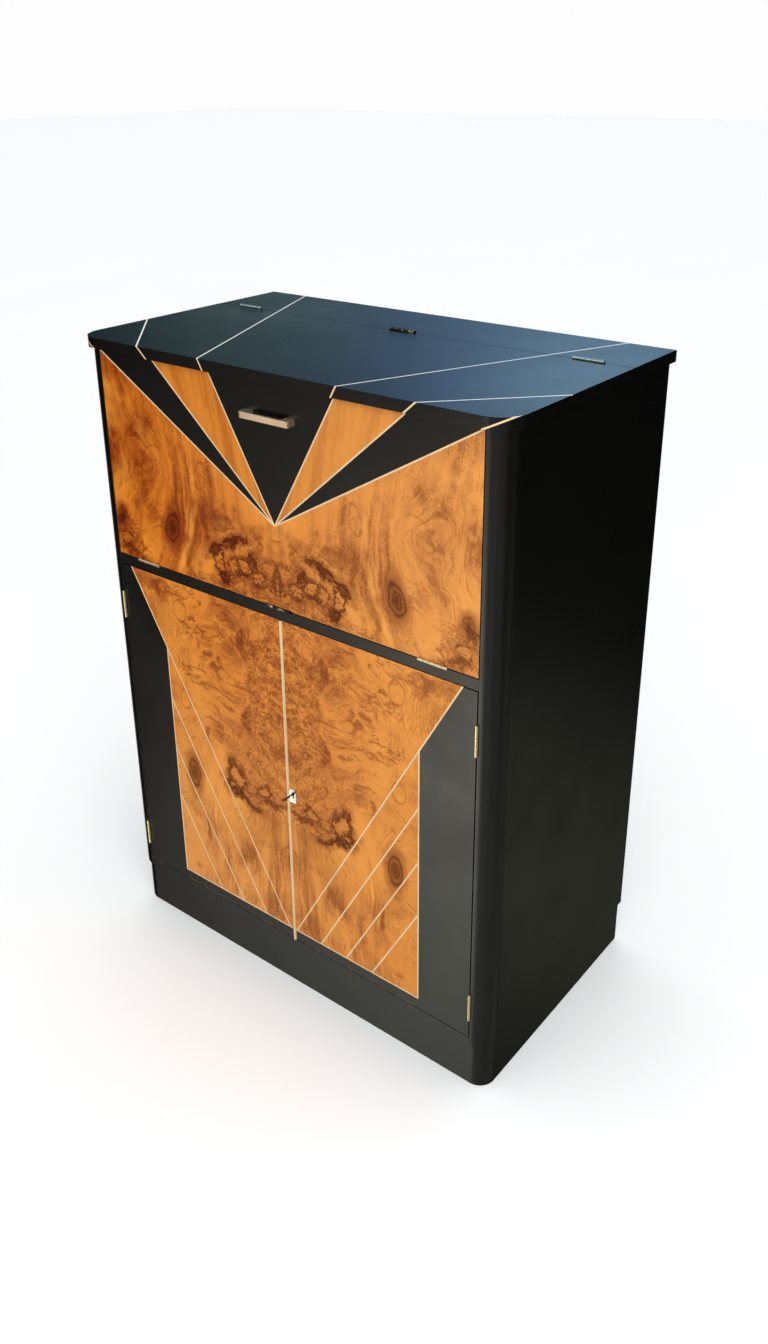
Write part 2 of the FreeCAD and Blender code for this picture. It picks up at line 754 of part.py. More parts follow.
case_space = box(door_edge - overrun, lock_far, lock_front, panel_thickness + overrun, lock_low, lock_high)
key_hole = cylinder(keyhole_radius, lock_front + 2 * overrun, Vector(key_offset, -overrun, key_height), Y)
key_drop = box(key_offset - keyhole_slot / 2, key_offset + keyhole_slot / 2, -overrun, lock_front + overrun,
               key_height - keyhole_drop, key_height)
right_cutters = [placed(moving_mortise, place) for place in right_places]
door_right = cut_all(door_board.cut(door_recess), right_cutters + [case_space, key_hole, key_drop])
save("door_right", door_right)
save("door_right_veneer", door_veneer.cut(key_hole).cut(key_drop))
save("door_right_lines", door_lines)

keep_pocket = box(-door_edge - keep_pocket_depth, -door_edge + overrun, bolt_front - bolt_clearance,
                  bolt_back + bolt_clearance, bolt_low - bolt_clearance, bolt_high + bolt_clearance)
keep_plate_space = box(-door_edge - keep_thickness, -door_edge, lock_front, panel_thickness,
                       bolt_low - keep_border, bolt_high + keep_border)
left_cutters = [placed(moving_mortise, place) for place in left_places]
door_left = cut_all(mirrored(door_board.cut(door_recess)), left_cutters + [keep_pocket, keep_plate_space])
save("door_left", door_left)
save("door_left_veneer", mirrored(door_veneer))
save("door_left_lines", mirrored(door_lines))
save("lock_keep", keep_plate_space.cut(keep_pocket))

# Half-round bead on the right door's meeting edge
bead_left = door_edge - bead_edge_clearance
bead_mid = bead_left + bead_width / 2
bead_points = [Vector(bead_left, 0, door_bottom), Vector(bead_mid, -bead_height, door_bottom),
               Vector(bead_left + bead_width, 0, door_bottom)]
bead_wire = Part.Wire([Part.Arc(*bead_points).toShape(),
                       Part.LineSegment(bead_points[2], bead_points[0]).toShape()])
save("centre_bead", Part.Face(bead_wire).extrude(Vector(0, 0, door_height)))

# Escutcheon: plate with a round top and a keyhole
plate_half = escutcheon_width / 2
arc_base = key_height + escutcheon_rise - plate_half
plate_low = key_height - escutcheon_drop
plate_edges = [
    Part.LineSegment(Vector(key_offset - plate_half, 0, arc_base), Vector(key_offset - plate_half, 0, plate_low)).toShape(),
    Part.LineSegment(Vector(key_offset - plate_half, 0, plate_low), Vector(key_offset + plate_half, 0, plate_low)).toShape(),
    Part.LineSegment(Vector(key_offset + plate_half, 0, plate_low), Vector(key_offset + plate_half, 0, arc_base)).toShape(),
    Part.Arc(Vector(key_offset + plate_half, 0, arc_base), Vector(key_offset, 0, arc_base + plate_half),
             Vector(key_offset - plate_half, 0, arc_base)).toShape(),
]
plate = Part.Face(Part.Wire(plate_edges)).extrude(Vector(0, -escutcheon_thickness, 0))
save("escutcheon", plate.cut(key_hole).cut(key_drop))

# Key: bow, shank and bit, with a hollow end that turns on the pin in the lock
shank = cylinder(key_shank_radius, key_reach + key_inner_reach - key_bow_length,
                 Vector(key_offset, -key_reach + key_bow_length, key_height), Y)
bow_radius = key_bow_width / 2
bow_start = Vector(key_offset, -key_reach + bow_radius, key_height - key_bow_thickness / 2)
bow = cylinder(bow_radius, key_bow_thickness, bow_start, Z)
bow_hole_start = bow_start - Z * overrun
bow_hole = cylinder(key_bow_hole_radius, key_bow_thickness + 2 * overrun, bow_hole_start, Z)
neck = box(key_offset - key_shank_radius, key_offset + key_shank_radius, -key_reach + key_bow_width - key_shank_radius,
           -key_reach + key_bow_length + key_shank_radius, key_height - key_bow_thickness / 2,
           key_height + key_bow_thickness / 2)
bit_back = key_inner_reach
bit = box(key_offset - key_bit_thickness / 2, key_offset + key_bit_thickness / 2, bit_back - key_bit_width, bit_back,
          key_height - key_bit_length, key_height)
barrel = cylinder(key_pin_radius + key_pin_clearance, key_pin_engagement + key_pin_radius + overrun,
                  Vector(key_offset, pin_tip - key_pin_radius, key_height), Y)
save("key", fuse_all([shank, bow, neck, bit]).cut(bow_hole).cut(barrel))

# Small bolt on the inside of the left door
plate_bottom = rod_end + rod_travel
plate_top = plate_bottom + rod_length
guide_left = rod_x - guide_width / 2
guide_right = rod_x + guide_width / 2
guide_back = rod_y + rod_radius + rod_clearance + guide_wall
guides = [box(guide_left, guide_right, panel_thickness, panel_thickness + guide_plate, plate_bottom, plate_top)]
for low in (plate_bottom, plate_top - guide_height):
    guides.append(box(guide_left, guide_right, panel_thickness, guide_back, low, low + guide_height))
guide = fuse_all(guides).cut(cylinder(rod_radius + rod_clearance, rod_length + 2 * overrun,
                                      Vector(rod_x, rod_y, plate_bottom - overrun), Z))
save("bolt_guide", guide)
rod = cylinder(rod_radius, rod_length, Vector(rod_x, rod_y, rod_end), Z)
knob_z = plate_top - guide_height - rod_knob_radius - rod_clearance
knob = cylinder(rod_knob_radius, rod_knob_reach, Vector(rod_x, rod_y, knob_z), Y)
save("bolt_rod", rod.fuse(knob))

# Hinge leaves and pins
save("flap_hinge_frame_leaves", [placed(fixed_leaf, place) for place in flap_places])
save("flap_hinge_flap_leaves", [placed(moving_leaf, place) for place in flap_places])
save("flap_middle_hinge_frame_leaf", placed(fixed_leaf, flap_middle_place))
save("flap_middle_hinge_flap_leaf", placed(moving_leaf, flap_middle_place))
save("flap_hinge_pins", [placed(pin, place) for place in all_flap_places])
save("lid_hinge_strip_leaves", [placed(fixed_leaf, place) for place in lid_places])
save("lid_hinge_lid_leaves", [placed(moving_leaf, place) for place in lid_places])
save("lid_middle_hinge_strip_leaf", placed(fixed_leaf, lid_middle_place))
save("lid_middle_hinge_lid_leaf", placed(moving_leaf, lid_middle_place))
save("lid_hinge_pins", [placed(pin, place) for place in all_lid_places])
save("door_hinge_post_leaves", [placed(fixed_leaf, place) for place in left_places + right_places])
save("left_hinge_door_leaves", [placed(moving_leaf, place) for place in left_places])
save("right_hinge_door_leaves", [placed(moving_leaf, place) for place in right_places])
save("door_hinge_pins", [placed(pin, place) for place in left_places + right_places])

# Stays of the flap
flap_arm = stay_arm(flap_axis, flap_pivot, flap_stud, flap_open_angle, flap_arm_x)
save("flap_stay_arms", both(flap_arm))
ear_outer = flap_arm_x - stay_plane_gap
ear_inner = ear_outer - bracket_thickness
head_gap = stay_pivot_clearance + stay_slot_clearance
pin_end = flap_arm_x + stay_thickness + head_gap
ear = box(ear_inner, ear_outer, panel_thickness, flap_pivot[0] + bracket_width / 2,
          flap_pivot[1] - bracket_width / 2, flap_pivot[1] + bracket_width / 2)
foot = box(ear_inner - bracket_foot, ear_outer, panel_thickness, panel_thickness + bracket_thickness,
           flap_pivot[1] - bracket_width / 2, flap_pivot[1] + bracket_width / 2)
flap_pivot_pin = cylinder(stay_pivot_radius, pin_end - ear_inner, Vector(ear_inner, flap_pivot[0], flap_pivot[1]), X)
flap_pin_head = cylinder(stay_pivot_radius + stay_thickness / 2, stay_thickness / 2,
                         Vector(pin_end, flap_pivot[0], flap_pivot[1]), X)
save("flap_stay_brackets", both(fuse_all([ear, foot, flap_pivot_pin, flap_pin_head])))
stud_inner = flap_arm_x - head_gap
stud_body = cylinder(stay_stud_radius, side_inner - stud_inner, Vector(stud_inner, flap_stud[0], flap_stud[1]), X)
stud_head = cylinder(stay_head_radius, stay_head_thickness,
                     Vector(stud_inner - stay_head_thickness, flap_stud[0], flap_stud[1]), X)
stud_base = cylinder(stay_base_radius, stay_base_thickness,
                     Vector(side_inner - stay_base_thickness, flap_stud[0], flap_stud[1]), X)
flap_stud_solid = fuse_all([stud_body, stud_head, stud_base])

# Stays of the lid
lid_arm = stay_arm(lid_axis, lid_pivot, lid_stud, lid_open_angle, lid_arm_x)
save("lid_stay_arms", both(lid_arm))
ear_outer = lid_arm_x - stay_plane_gap
ear_inner = ear_outer - bracket_thickness
pin_end = lid_arm_x + stay_thickness + head_gap
ear = box(ear_inner, ear_outer, lid_pivot[0] - bracket_width / 2, lid_pivot[0] + bracket_width / 2,
          lid_pivot[1] - bracket_width / 2, lid_bottom)
foot = box(ear_inner - bracket_foot, ear_outer, lid_pivot[0] - bracket_width / 2, lid_pivot[0] + bracket_width / 2,
           lid_bottom - bracket_thickness, lid_bottom)
lid_pivot_pin = cylinder(stay_pivot_radius, pin_end - ear_inner, Vector(ear_inner, lid_pivot[0], lid_pivot[1]), X)
lid_pin_head = cylinder(stay_pivot_radius + stay_thickness / 2, stay_thickness / 2,
                        Vector(pin_end, lid_pivot[0], lid_pivot[1]), X)
save("lid_stay_brackets", both(fuse_all([ear, foot, lid_pivot_pin, lid_pin_head])))
stud_inner = lid_arm_x - head_gap
stud_body = cylinder(stay_stud_radius, side_inner - stud_inner, Vector(stud_inner, lid_stud[0], lid_stud[1]), X)
stud_head = cylinder(stay_head_radius, stay_head_thickness,
                     Vector(stud_inner - stay_head_thickness, lid_stud[0], lid_stud[1]), X)
stud_base = cylinder(stay_base_radius, stay_base_thickness,
                     Vector(side_inner - stay_base_thickness, lid_stud[0], lid_stud[1]), X)
lid_stud_solid = fuse_all([stud_body, stud_head, stud_base])
save("stay_studs", both(flap_stud_solid) + both(lid_stud_solid))

print("%d nodes" % len(nodes))
print("flap axis y %.3f z %.3f" % (flap_axis[0] + depth_shift, flap_axis[1]))
print("lid axis y %.3f z %.3f" % (lid_axis[0] + depth_shift, lid_axis[1]))
print("door axis x %.3f y %.3f" % (door_axis_x, -axis_standoff + depth_shift))
print("flap pivot y %.3f z %.3f" % (flap_pivot[0] + depth_shift, flap_pivot[1]))
print("flap stud y %.3f z %.3f" % (flap_stud[0] + depth_shift, flap_stud[1]))
print("lid pivot y %.3f z %.3f" % (lid_pivot[0] + depth_shift, lid_pivot[1]))
print("lid stud y %.3f z %.3f" % (lid_stud[0] + depth_shift, lid_stud[1]))
print("key x %.3f z %.3f, bolt x %.3f" % (key_offset, key_height, bolt_start))
print("rod x %.3f y %.3f" % (rod_x, rod_y + depth_shift))
print("depth shift %.3f" % depth_shift)
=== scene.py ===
import json
import math
from functools import reduce

import bmesh
import bpy
from bpy.props import FloatProperty, FloatVectorProperty, PointerProperty
from mathutils import Matrix, Vector


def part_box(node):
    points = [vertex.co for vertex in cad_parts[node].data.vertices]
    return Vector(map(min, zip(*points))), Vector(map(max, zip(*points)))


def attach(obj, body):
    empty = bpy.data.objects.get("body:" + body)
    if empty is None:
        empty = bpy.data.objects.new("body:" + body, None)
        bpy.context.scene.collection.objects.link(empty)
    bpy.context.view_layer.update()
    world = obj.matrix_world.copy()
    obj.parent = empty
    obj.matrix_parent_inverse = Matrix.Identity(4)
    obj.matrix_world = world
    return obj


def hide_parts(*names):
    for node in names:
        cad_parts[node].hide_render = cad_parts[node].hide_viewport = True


bl_info = {
    "name": "Cocktail cabinet",
    "version": (1, 0, 0),
    "blender": (4, 5, 0),
    "location": "View3D > Sidebar > Cabinet",
    "description": "Dresses the cocktail cabinet with softened edges, veneer, paint and metal",
    "category": "Object",
}

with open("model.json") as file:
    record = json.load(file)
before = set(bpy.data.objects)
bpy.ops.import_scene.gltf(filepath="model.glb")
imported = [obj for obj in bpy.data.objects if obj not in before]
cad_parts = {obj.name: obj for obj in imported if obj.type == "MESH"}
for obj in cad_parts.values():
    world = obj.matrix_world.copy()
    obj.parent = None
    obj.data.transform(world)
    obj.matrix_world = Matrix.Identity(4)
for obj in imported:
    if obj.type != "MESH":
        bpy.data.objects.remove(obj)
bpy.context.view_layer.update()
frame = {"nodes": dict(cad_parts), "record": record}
NODES = frame["nodes"]
BODY_OF = {node: body for body, nodes in frame["record"]["behaviour"]["bodies"].items() for node in nodes}
NODE_SLOT = {part["node"]: part["material_slot"] for part in frame["record"]["subparts"]}
# Node groups and materials by name, as they are made
GROUPS = {}
MATERIALS = {}

# Sides of a box: axis, and whether it is the low or the high end
LEFT, RIGHT, FRONT, BACK, UNDER, UPPER = (0, 0), (0, 1), (1, 0), (1, 1), (2, 0), (2, 1)
ALL_SIDES = (LEFT, RIGHT, FRONT, BACK, UNDER, UPPER)
X, Y, Z = range(3)
CLOSE = 0.00002
WHITE = (1.0, 1.0, 1.0, 1.0)
BLACK = (0.0, 0.0, 0.0, 1.0)


# Sizes and colours that a user may change

def length_of(name, description, default):
    return FloatProperty(name=name, description=description, default=default, min=0.0,
                         unit="LENGTH", subtype="DISTANCE")


def angle_of(name, description, degrees):
    return FloatProperty(name=name, description=description, default=math.radians(degrees), subtype="ANGLE")


def color_of(name, description, *default):
    return FloatVectorProperty(name=name, description=description, default=default, subtype="COLOR", size=3)


class CabinetSizes(bpy.types.PropertyGroup):
    """Sizes of the details that are finer than the frame"""
    paint_edge: length_of("Painted edge", "Rounding of the painted boards' edges", 0.0009)
    panel_edge: length_of("Panel edge", "Rounding of the flap, the doors, the rail and their inlay", 0.0004)
    shelf_edge: length_of("Shelf edge", "Rounding of the shelf and of the compartment's floor", 0.0012)
    metal_edge: length_of("Metal edge", "Rounding of the stays, the lock and the bolts", 0.0003)
    corner_radius: length_of("Slab corner", "Radius of the top's front corners", 0.041)
    screw_head: length_of("Screw head", "Radius of the hinge and plate screws' heads", 0.0021)
    hinge_length: length_of("Hinge length", "Length of a butt hinge", 0.051)
    knuckle_radius: length_of("Knuckle radius", "Outer radius of a hinge's knuckles", 0.0026)
    leaf_width: length_of("Leaf width", "Reach of a hinge leaf from its axis", 0.015)


class CabinetFinish(bpy.types.PropertyGroup):
    """Colours of paint, veneer, lines and metal"""
    paint: color_of("Paint", "Black satin paint", 0.0019, 0.0018, 0.0017)
    veneer_bright: color_of("Bright veneer", "Yellow streaks in the burl", 0.72, 0.265, 0.032)
    veneer_light: color_of("Light veneer", "Golden part of the burl", 0.530, 0.147, 0.0095)
    veneer_mid: color_of("Middle veneer", "Orange brown part of the burl", 0.325, 0.066, 0.0028)
    veneer_deep: color_of("Deep veneer", "Red brown shade in the burl", 0.155, 0.0175, 0.0010)
    veneer_dark: color_of("Dark veneer", "Dark veins and knots", 0.060, 0.0040, 0.0006)
    # Painted light: the paler colour that the veneer is pulled towards where more light falls on it
    veneer_faded: color_of("Faded veneer", "What light has bleached the burl towards", 0.70, 0.335, 0.102)
    ray_light: color_of("Light rays", "Light grain of the plain veneer in the rays", 0.560, 0.190, 0.024)
    ray_dark: color_of("Dark rays", "Dark grain of the plain veneer in the rays", 0.370, 0.094, 0.008)
    line: color_of("Inlaid line", "Cream lines and bead", 0.70, 0.51, 0.28)
    # Painted light: the pale line on the top gets a paler, cooler colour for the cool light that falls on
    # the top
    line_painted_light_above: color_of("Line on the top", "The pale line where light has bleached it", 0.84, 0.84, 0.80)
    # Painted light: the brass on the top gets a blue-green colour for the cool light reflected on the top
    brass_painted_light_above: color_of("Dulled brass", "Brass that has dulled on the top", 0.50, 0.62, 0.58)
    brass: color_of("Brass", "Hinges and stays", 0.90, 0.73, 0.43)
    rose: color_of("Handle", "Rose brass of the handle", 0.97, 0.76, 0.54)


class CabinetStage(bpy.types.PropertyGroup):
    """Camera, floor and lights"""
    camera_place: FloatVectorProperty(
        name="Camera place", description="Where the camera stands", subtype="TRANSLATION", size=3,
        default=(1.1207, -1.3778, 1.5161))
    camera_yaw: angle_of("Camera yaw", "Turn of the camera to the left", 38.148)
    camera_pitch: angle_of("Camera pitch", "How far the camera looks down", 23.205)
    camera_roll: angle_of("Camera roll", "Tilt of the horizon", -0.47)
    camera_lens: FloatProperty(
        name="Lens", description="Focal length on a sensor 36 mm high", default=31.02, min=1.0)
    camera_shift: FloatProperty(
        name="Shift", description="Upward shift of the frame, as a share of its height", default=-0.0857)
    sky: FloatProperty(name="Room light", description="Strength of the even light", default=1.05, min=0.0)
    key: FloatProperty(name="Key light", description="Power of the large soft light", default=15.0, min=0.0)


# Scene helpers

def finish_of(node):
    """Name of the finish that a node gets."""
    slot = NODE_SLOT[node]
    if slot == "burl_veneer":
        return "flap_burl" if node.startswith("flap") else "door_burl"
    return "black_paint" if slot == "black_lacquer" else slot


def deselect():
    for thing in bpy.context.selected_objects:
        thing.select_set(False)


def activate(piece):
    deselect()
    piece.select_set(True)
    bpy.context.view_layer.objects.active = piece


def seat(piece, node, finish=None):
    """Gives a finished piece its material and lets it move with a node's body."""
    finish = finish or finish_of(node)
    piece.data.materials.clear()
    piece.data.materials.append(MATERIALS[finish])
    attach(piece, BODY_OF[node])


def stand_in(piece, node):
    """Lets a finished piece stand for a node."""
    seat(piece, node)
    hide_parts(node)


def move_to(piece, matrix):
    """Puts the place of a piece into its mesh."""
    piece.data.transform(matrix)
    piece.data.update()


def as_made(name):
    """The shape just added, with its size and place put into its mesh."""
    piece = bpy.context.active_object
    piece.name = name
    bpy.ops.object.transform_apply(location=True, rotation=True, scale=True)
    return piece


def block(name, low, high):
    """A cube at its size and place, to be shaped further."""
    deselect()
    centre = [(near + far) / 2 for near, far in zip(low, high)]
    size = [far - near for near, far in zip(low, high)]
    bpy.ops.mesh.primitive_cube_add(size=1.0, location=centre, scale=size)
    return as_made(name)


def turned(name, radius, start, end, sides=32):
    """A cylinder between two points, to be shaped further."""
    deselect()
    start, end = Vector(start), Vector(end)
    run = end - start
    bpy.ops.mesh.primitive_cylinder_add(
        vertices=sides, radius=radius, depth=run.length, location=(start + end) / 2,
        rotation=run.to_track_quat("Z", "Y").to_euler())
    return as_made(name)


def every(item):
    return True


def pick(piece, kind="FACE", test=every):
    """Enters edit mode with only the edges or faces that pass a test selected."""
    activate(piece)
    bpy.ops.object.mode_set(mode="EDIT")
    bpy.ops.mesh.select_mode(type=kind)
    bpy.ops.mesh.select_all(action="DESELECT")
    mesh = bmesh.from_edit_mesh(piece.data)
    for item in (mesh.edges if kind == "EDGE" else mesh.faces):
        if test(item):
            item.select_set(True)
    bmesh.update_edit_mesh(piece.data)


def leave_edit():
    bpy.ops.object.mode_set(mode="OBJECT")


def pull(piece, test, offset):
    """Extrudes the faces that pass a test."""
    pick(piece, "FACE", test)
    bpy.ops.mesh.extrude_region_move(TRANSFORM_OT_translate={"value": offset})
    leave_edit()


def slice_across(piece, axis, places):
    """Adds loops of edges where planes across an axis meet a piece."""
    for place in places:
        pick(piece)
        bpy.ops.mesh.bisect(plane_co=[place * (axis == each) for each in (X, Y, Z)],
                            plane_no=[float(axis == each) for each in (X, Y, Z)])
        leave_edit()


def sharp(edge, angle=0.5):
    return edge.is_manifold and edge.calc_face_angle(0.0) > angle


def lies(edge, axis, place):
    """Whether both ends of an edge are at a place along an axis."""
    return all(abs(vert.co[axis] - place) < CLOSE for vert in edge.verts)


def round_edges(piece, test, width, segments=3):
    """Rounds the sharp edges that pass a test."""
    pick(piece, "EDGE", lambda edge: sharp(edge) and test(edge))
    bpy.ops.mesh.bevel(offset=width, offset_type="OFFSET", segments=segments, clamp_overlap=True)
    leave_edit()


def box_edge(low, high, sides=ALL_SIDES):
    """Test for edges that run along two of a box's sides."""
    def test(edge):
        return len({axis for axis, end in sides if lies(edge, axis, (low, high)[end][axis])}) >= 2
    return test


def smooth(piece, angle=35.0):
    """Smooth shading that keeps flat faces flat."""
    activate(piece)
    bpy.ops.object.shade_smooth_by_angle(angle=math.radians(angle))
    bpy.ops.object.modifier_add(type="WEIGHTED_NORMAL")
    piece.modifiers[-1].keep_sharp = True
    bpy.ops.object.modifier_apply(modifier=piece.modifiers[-1].name)


def own_copy(name, source, matrix=None):
    """A copy with its own mesh, moved into place."""
    twin = bpy.data.objects.new(name, source.data.copy())
    bpy.context.scene.collection.objects.link(twin)
    if matrix is not None:
        move_to(twin, matrix)
    return twin


def soften(node, name, rules):
    """Lets a copy with merged triangles and rounded edges stand for a node."""
    piece = own_copy(name, NODES[node])
    activate(piece)
    bpy.ops.mesh.customdata_custom_splitnormals_clear()
    bpy.ops.object.mode_set(mode="EDIT")
    bpy.ops.mesh.select_all(action="SELECT")
    bpy.ops.mesh.remove_doubles(threshold=0.000002)
    bpy.ops.mesh.dissolve_limited(angle_limit=math.radians(0.2))
    leave_edit()
    for test, width, segments in rules:
        round_edges(piece, test, width, segments)
    smooth(piece)
    stand_in(piece, node)
    return piece


def soften_box(node, name, width, segments, sides=ALL_SIDES):
    """Softens a node along the edges of its own box."""
    soften(node, name, [(box_edge(*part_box(node), sides), width, segments)])


def join(name, pieces):
    activate(pieces[0])
    for piece in pieces:
        piece.select_set(True)
    bpy.ops.object.join()
    joined = bpy.context.active_object
    joined.name = name
    return joined


def cut(piece, tool):
    """Cuts a tool's shape out of a piece."""
    activate(piece)
    change = piece.modifiers.new("cut", "BOOLEAN")
    change.operation = "DIFFERENCE"
    change.solver = "EXACT"
    change.object = tool
    bpy.ops.object.modifier_apply(modifier=change.name)
    bpy.data.objects.remove(tool)


def tube(name, radius, bore, start, end, sides):
    """A cylinder with a hole from end to end."""
    piece = turned(name, radius, start, end, sides)
    pick(piece, "FACE", lambda face: len(face.verts) == sides)
    bpy.ops.mesh.inset(thickness=radius - bore, use_even_offset=False)
    bpy.ops.mesh.bridge_edge_loops()
    leave_edit()
    return piece


def screw_at(place, direction, radius, height, spin=0.0, slot=True):
    """A screw head that looks along a direction from a place, with a slot."""
    piece = turned("head", radius, (0, 0, -height), (0, 0, 0), 24)
    round_edges(piece, lambda edge: lies(edge, Z, 0.0), radius * 0.18, 2)
    if slot:
        half = (radius * 1.2, radius * 0.14)
        cut(piece, block("slot_tool", (-half[0], -half[1], -height * 0.4), (*half, height)))
    smooth(piece)
    turn = Vector(direction).to_track_quat("Z", "Y").to_matrix().to_4x4()
    move_to(piece, Matrix.Translation(place) @ turn @ Matrix.Rotation(spin, 4, "Z"))
    return piece


# Node helpers

def infix(operation, swapped=False):
    """Method that adds a maths node; swapped where the field stands on the right."""
    if swapped:
        return lambda self, other: maths(operation, other, self)
    return lambda self, other: maths(operation, self, other)


class Field:
    """What a socket gives; arithmetic with it adds maths nodes to its tree."""
    __add__, __radd__ = infix("ADD"), infix("ADD", True)
    __sub__, __rsub__ = infix("SUBTRACT"), infix("SUBTRACT", True)
    __pow__, __rpow__ = infix("POWER"), infix("POWER", True)
    __mul__ = infix("MULTIPLY")

    def __init__(self, socket):
        self.socket = socket
        self.tree = socket.id_data

    def __abs__(self):
        return maths("ABSOLUTE", self)


def fill(socket, source):
    """Links a field to an input, or sets the input's own value."""
    if isinstance(source, Field):
        source.tree.links.new(source.socket, socket)
    elif socket.type == "RGBA" and len(source) == 3:
        socket.default_value = (*source, 1.0)
    else:
        socket.default_value = source


def put(kind, links, **settings):
    """Adds a node to the tree of the fields that lead to it, sets its properties and fills its inputs."""
    node = next(source.tree for source in links.values() if isinstance(source, Field)).nodes.new(kind)
    for name, value in settings.items():
        setattr(node, name, value)
    for socket, source in links.items():
        fill(node.inputs[socket], source)
    return node


def made(kind, links, output=0, **settings):
    """Adds a node and returns one of its outputs."""
    return Field(put(kind, links, **settings).outputs[output])


def maths(operation, *values, clamp=False):
    return made("ShaderNodeMath", dict(enumerate(values)), operation=operation, use_clamp=clamp)


def strongest(*fields):
    return reduce(lambda best, field: maths("MAXIMUM", best, field), fields)


def vector_maths(operation, a, b=(0, 0, 0), **more):
    output = "Value" if operation in ("LENGTH", "DOT_PRODUCT") else "Vector"
    return made("ShaderNodeVectorMath", {0: a, 1: b, **more}, output, operation=operation)


def stretched(place, *factors):
    return vector_maths("MULTIPLY", place, factors)


def axes(place):
    return [Field(socket) for socket in put("ShaderNodeSeparateXYZ", {0: place}).outputs]


def point(*parts):
    return made("ShaderNodeCombineXYZ", dict(enumerate(parts)))


def span(value, low, high, to_low=0.0, to_high=1.0, **settings):
    """Smooth change from one value to another between two limits; with settings, a straight one."""
    settings = settings or {"interpolation_type": "SMOOTHSTEP"}
    return made("ShaderNodeMapRange", {
        "Value": value, "From Min": low, "From Max": high, "To Min": to_low, "To Max": to_high}, **settings)


def noise(place, scale, detail=3.0, roughness=0.5, distortion=0.0, output="Fac"):
    return made("ShaderNodeTexNoise", {
        "Vector": place, "Scale": scale, "Detail": detail, "Roughness": roughness,
        "Distortion": distortion}, output)


def warped(place, scale, amount, detail=2.0):
    """A place pushed about by a noise."""
    push = vector_maths("SUBTRACT", noise(place, scale, detail, output="Color"), (0.5, 0.5, 0.5))
    return vector_maths("ADD", place, vector_maths("SCALE", push, Scale=amount))


def mix(factor, a, b, kind="MIX"):
    return made("ShaderNodeMix", {0: factor, 6: a, 7: b}, 2, data_type="RGBA", blend_type=kind)


def layered(base, *layers):
    """Lays colours over a base, each as strongly as the share before it."""
    return reduce(lambda below, layer: mix(layer[0], below, layer[1]), layers, base)


def new_group(name, inputs, outputs):
    """Empty node group; returns what it is given and its output node. An input of None is a place."""
    tree = bpy.data.node_groups.new(name, "ShaderNodeTree")
    GROUPS[name] = tree
    for socket, value in inputs.items():
        kind = "Vector" if value is None else "Color" if isinstance(value, tuple) else "Float"
        given = tree.interface.new_socket(name=socket, in_out="INPUT", socket_type="NodeSocket" + kind)
        if value is not None:
            given.default_value = value
    for socket in outputs:
        kind = "Color" if socket == "Color" else "Float"
        tree.interface.new_socket(name=socket, in_out="OUTPUT", socket_type="NodeSocket" + kind)
    entry = tree.nodes.new("NodeGroupInput")
    return {socket: Field(entry.outputs[socket]) for socket in inputs}, tree.nodes.new("NodeGroupOutput")


def give(leave, **results):
    for name, result in results.items():
        fill(leave.inputs[name], result)


def use_group(name, **inputs):
    """Puts a group to use; returns its outputs by name."""
    node = put("ShaderNodeGroup", {socket.capitalize(): value for socket, value in inputs.items()},
               node_tree=GROUPS[name])
    return {socket.name: Field(socket) for socket in node.outputs}


def new_material(name, **shader):
    """Material with one Principled BSDF; returns the shader and the object coordinates."""
    material = bpy.data.materials.new(name)
    material.use_nodes = True
    bsdf = material.node_tree.nodes["Principled BSDF"]
    for socket, value in shader.items():
        bsdf.inputs[socket.replace("_", " ")].default_value = value
    MATERIALS[name] = material
    return bsdf, Field(material.node_tree.nodes.new("ShaderNodeTexCoord").outputs["Object"])


def finish_material(bsdf, color, roughness, height=None, depth=0.0):
    fill(bsdf.inputs["Base Color"], color)
    fill(bsdf.inputs["Roughness"], roughness)
    if height is not None:
        bump = made("ShaderNodeBump", {"Height": height, "Distance": depth, "Strength": 1.0})
        fill(bsdf.inputs["Normal"], bump)


# Effects shared by several materials

def build_scuff_group():
    """Fine rubbing and dust: a mask, a roughness change and a height."""
    given, leave = new_group("scuff", {"Place": None, "Amount": 1.0}, ("Mask", "Roughness", "Height"))
    broad = noise(given["Place"], 7.0, 5.0, 0.6)
    fine = noise(given["Place"], 900.0, 3.0, 0.6)
    hair = noise(stretched(given["Place"], 1.0, 1.0, 14.0), 55.0, 4.0, 0.7, 0.6)
    mask = maths("MULTIPLY", span(hair, 0.62, 0.74) * span(broad, 0.45, 0.7), given["Amount"], clamp=True)
    rough = ((broad - 0.5) * 0.22 + (fine - 0.5) * 0.06 + mask * 0.12) * given["Amount"]
    give(leave, Mask=mask, Roughness=rough, Height=fine + hair * 0.6)


def build_grain_group():
    """Straight grain: long fibres with slow bends, for plain veneer and boards."""
    given, leave = new_group(
        "straight_grain", {"Place": None, "Light": WHITE, "Dark": BLACK}, ("Color", "Height"))
    lanes = stretched(warped(given["Place"], 3.0, 0.09), 1.0, 1.0, 0.07)
    bands = noise(lanes, 40.0, 3.0, 0.6)
    fibres = noise(lanes, 420.0, 3.0, 0.65)
    tone = span(bands * 0.75 + fibres * 0.35, 0.38, 0.72)
    give(leave, Color=mix(tone, given["Dark"], given["Light"]), Height=fibres)


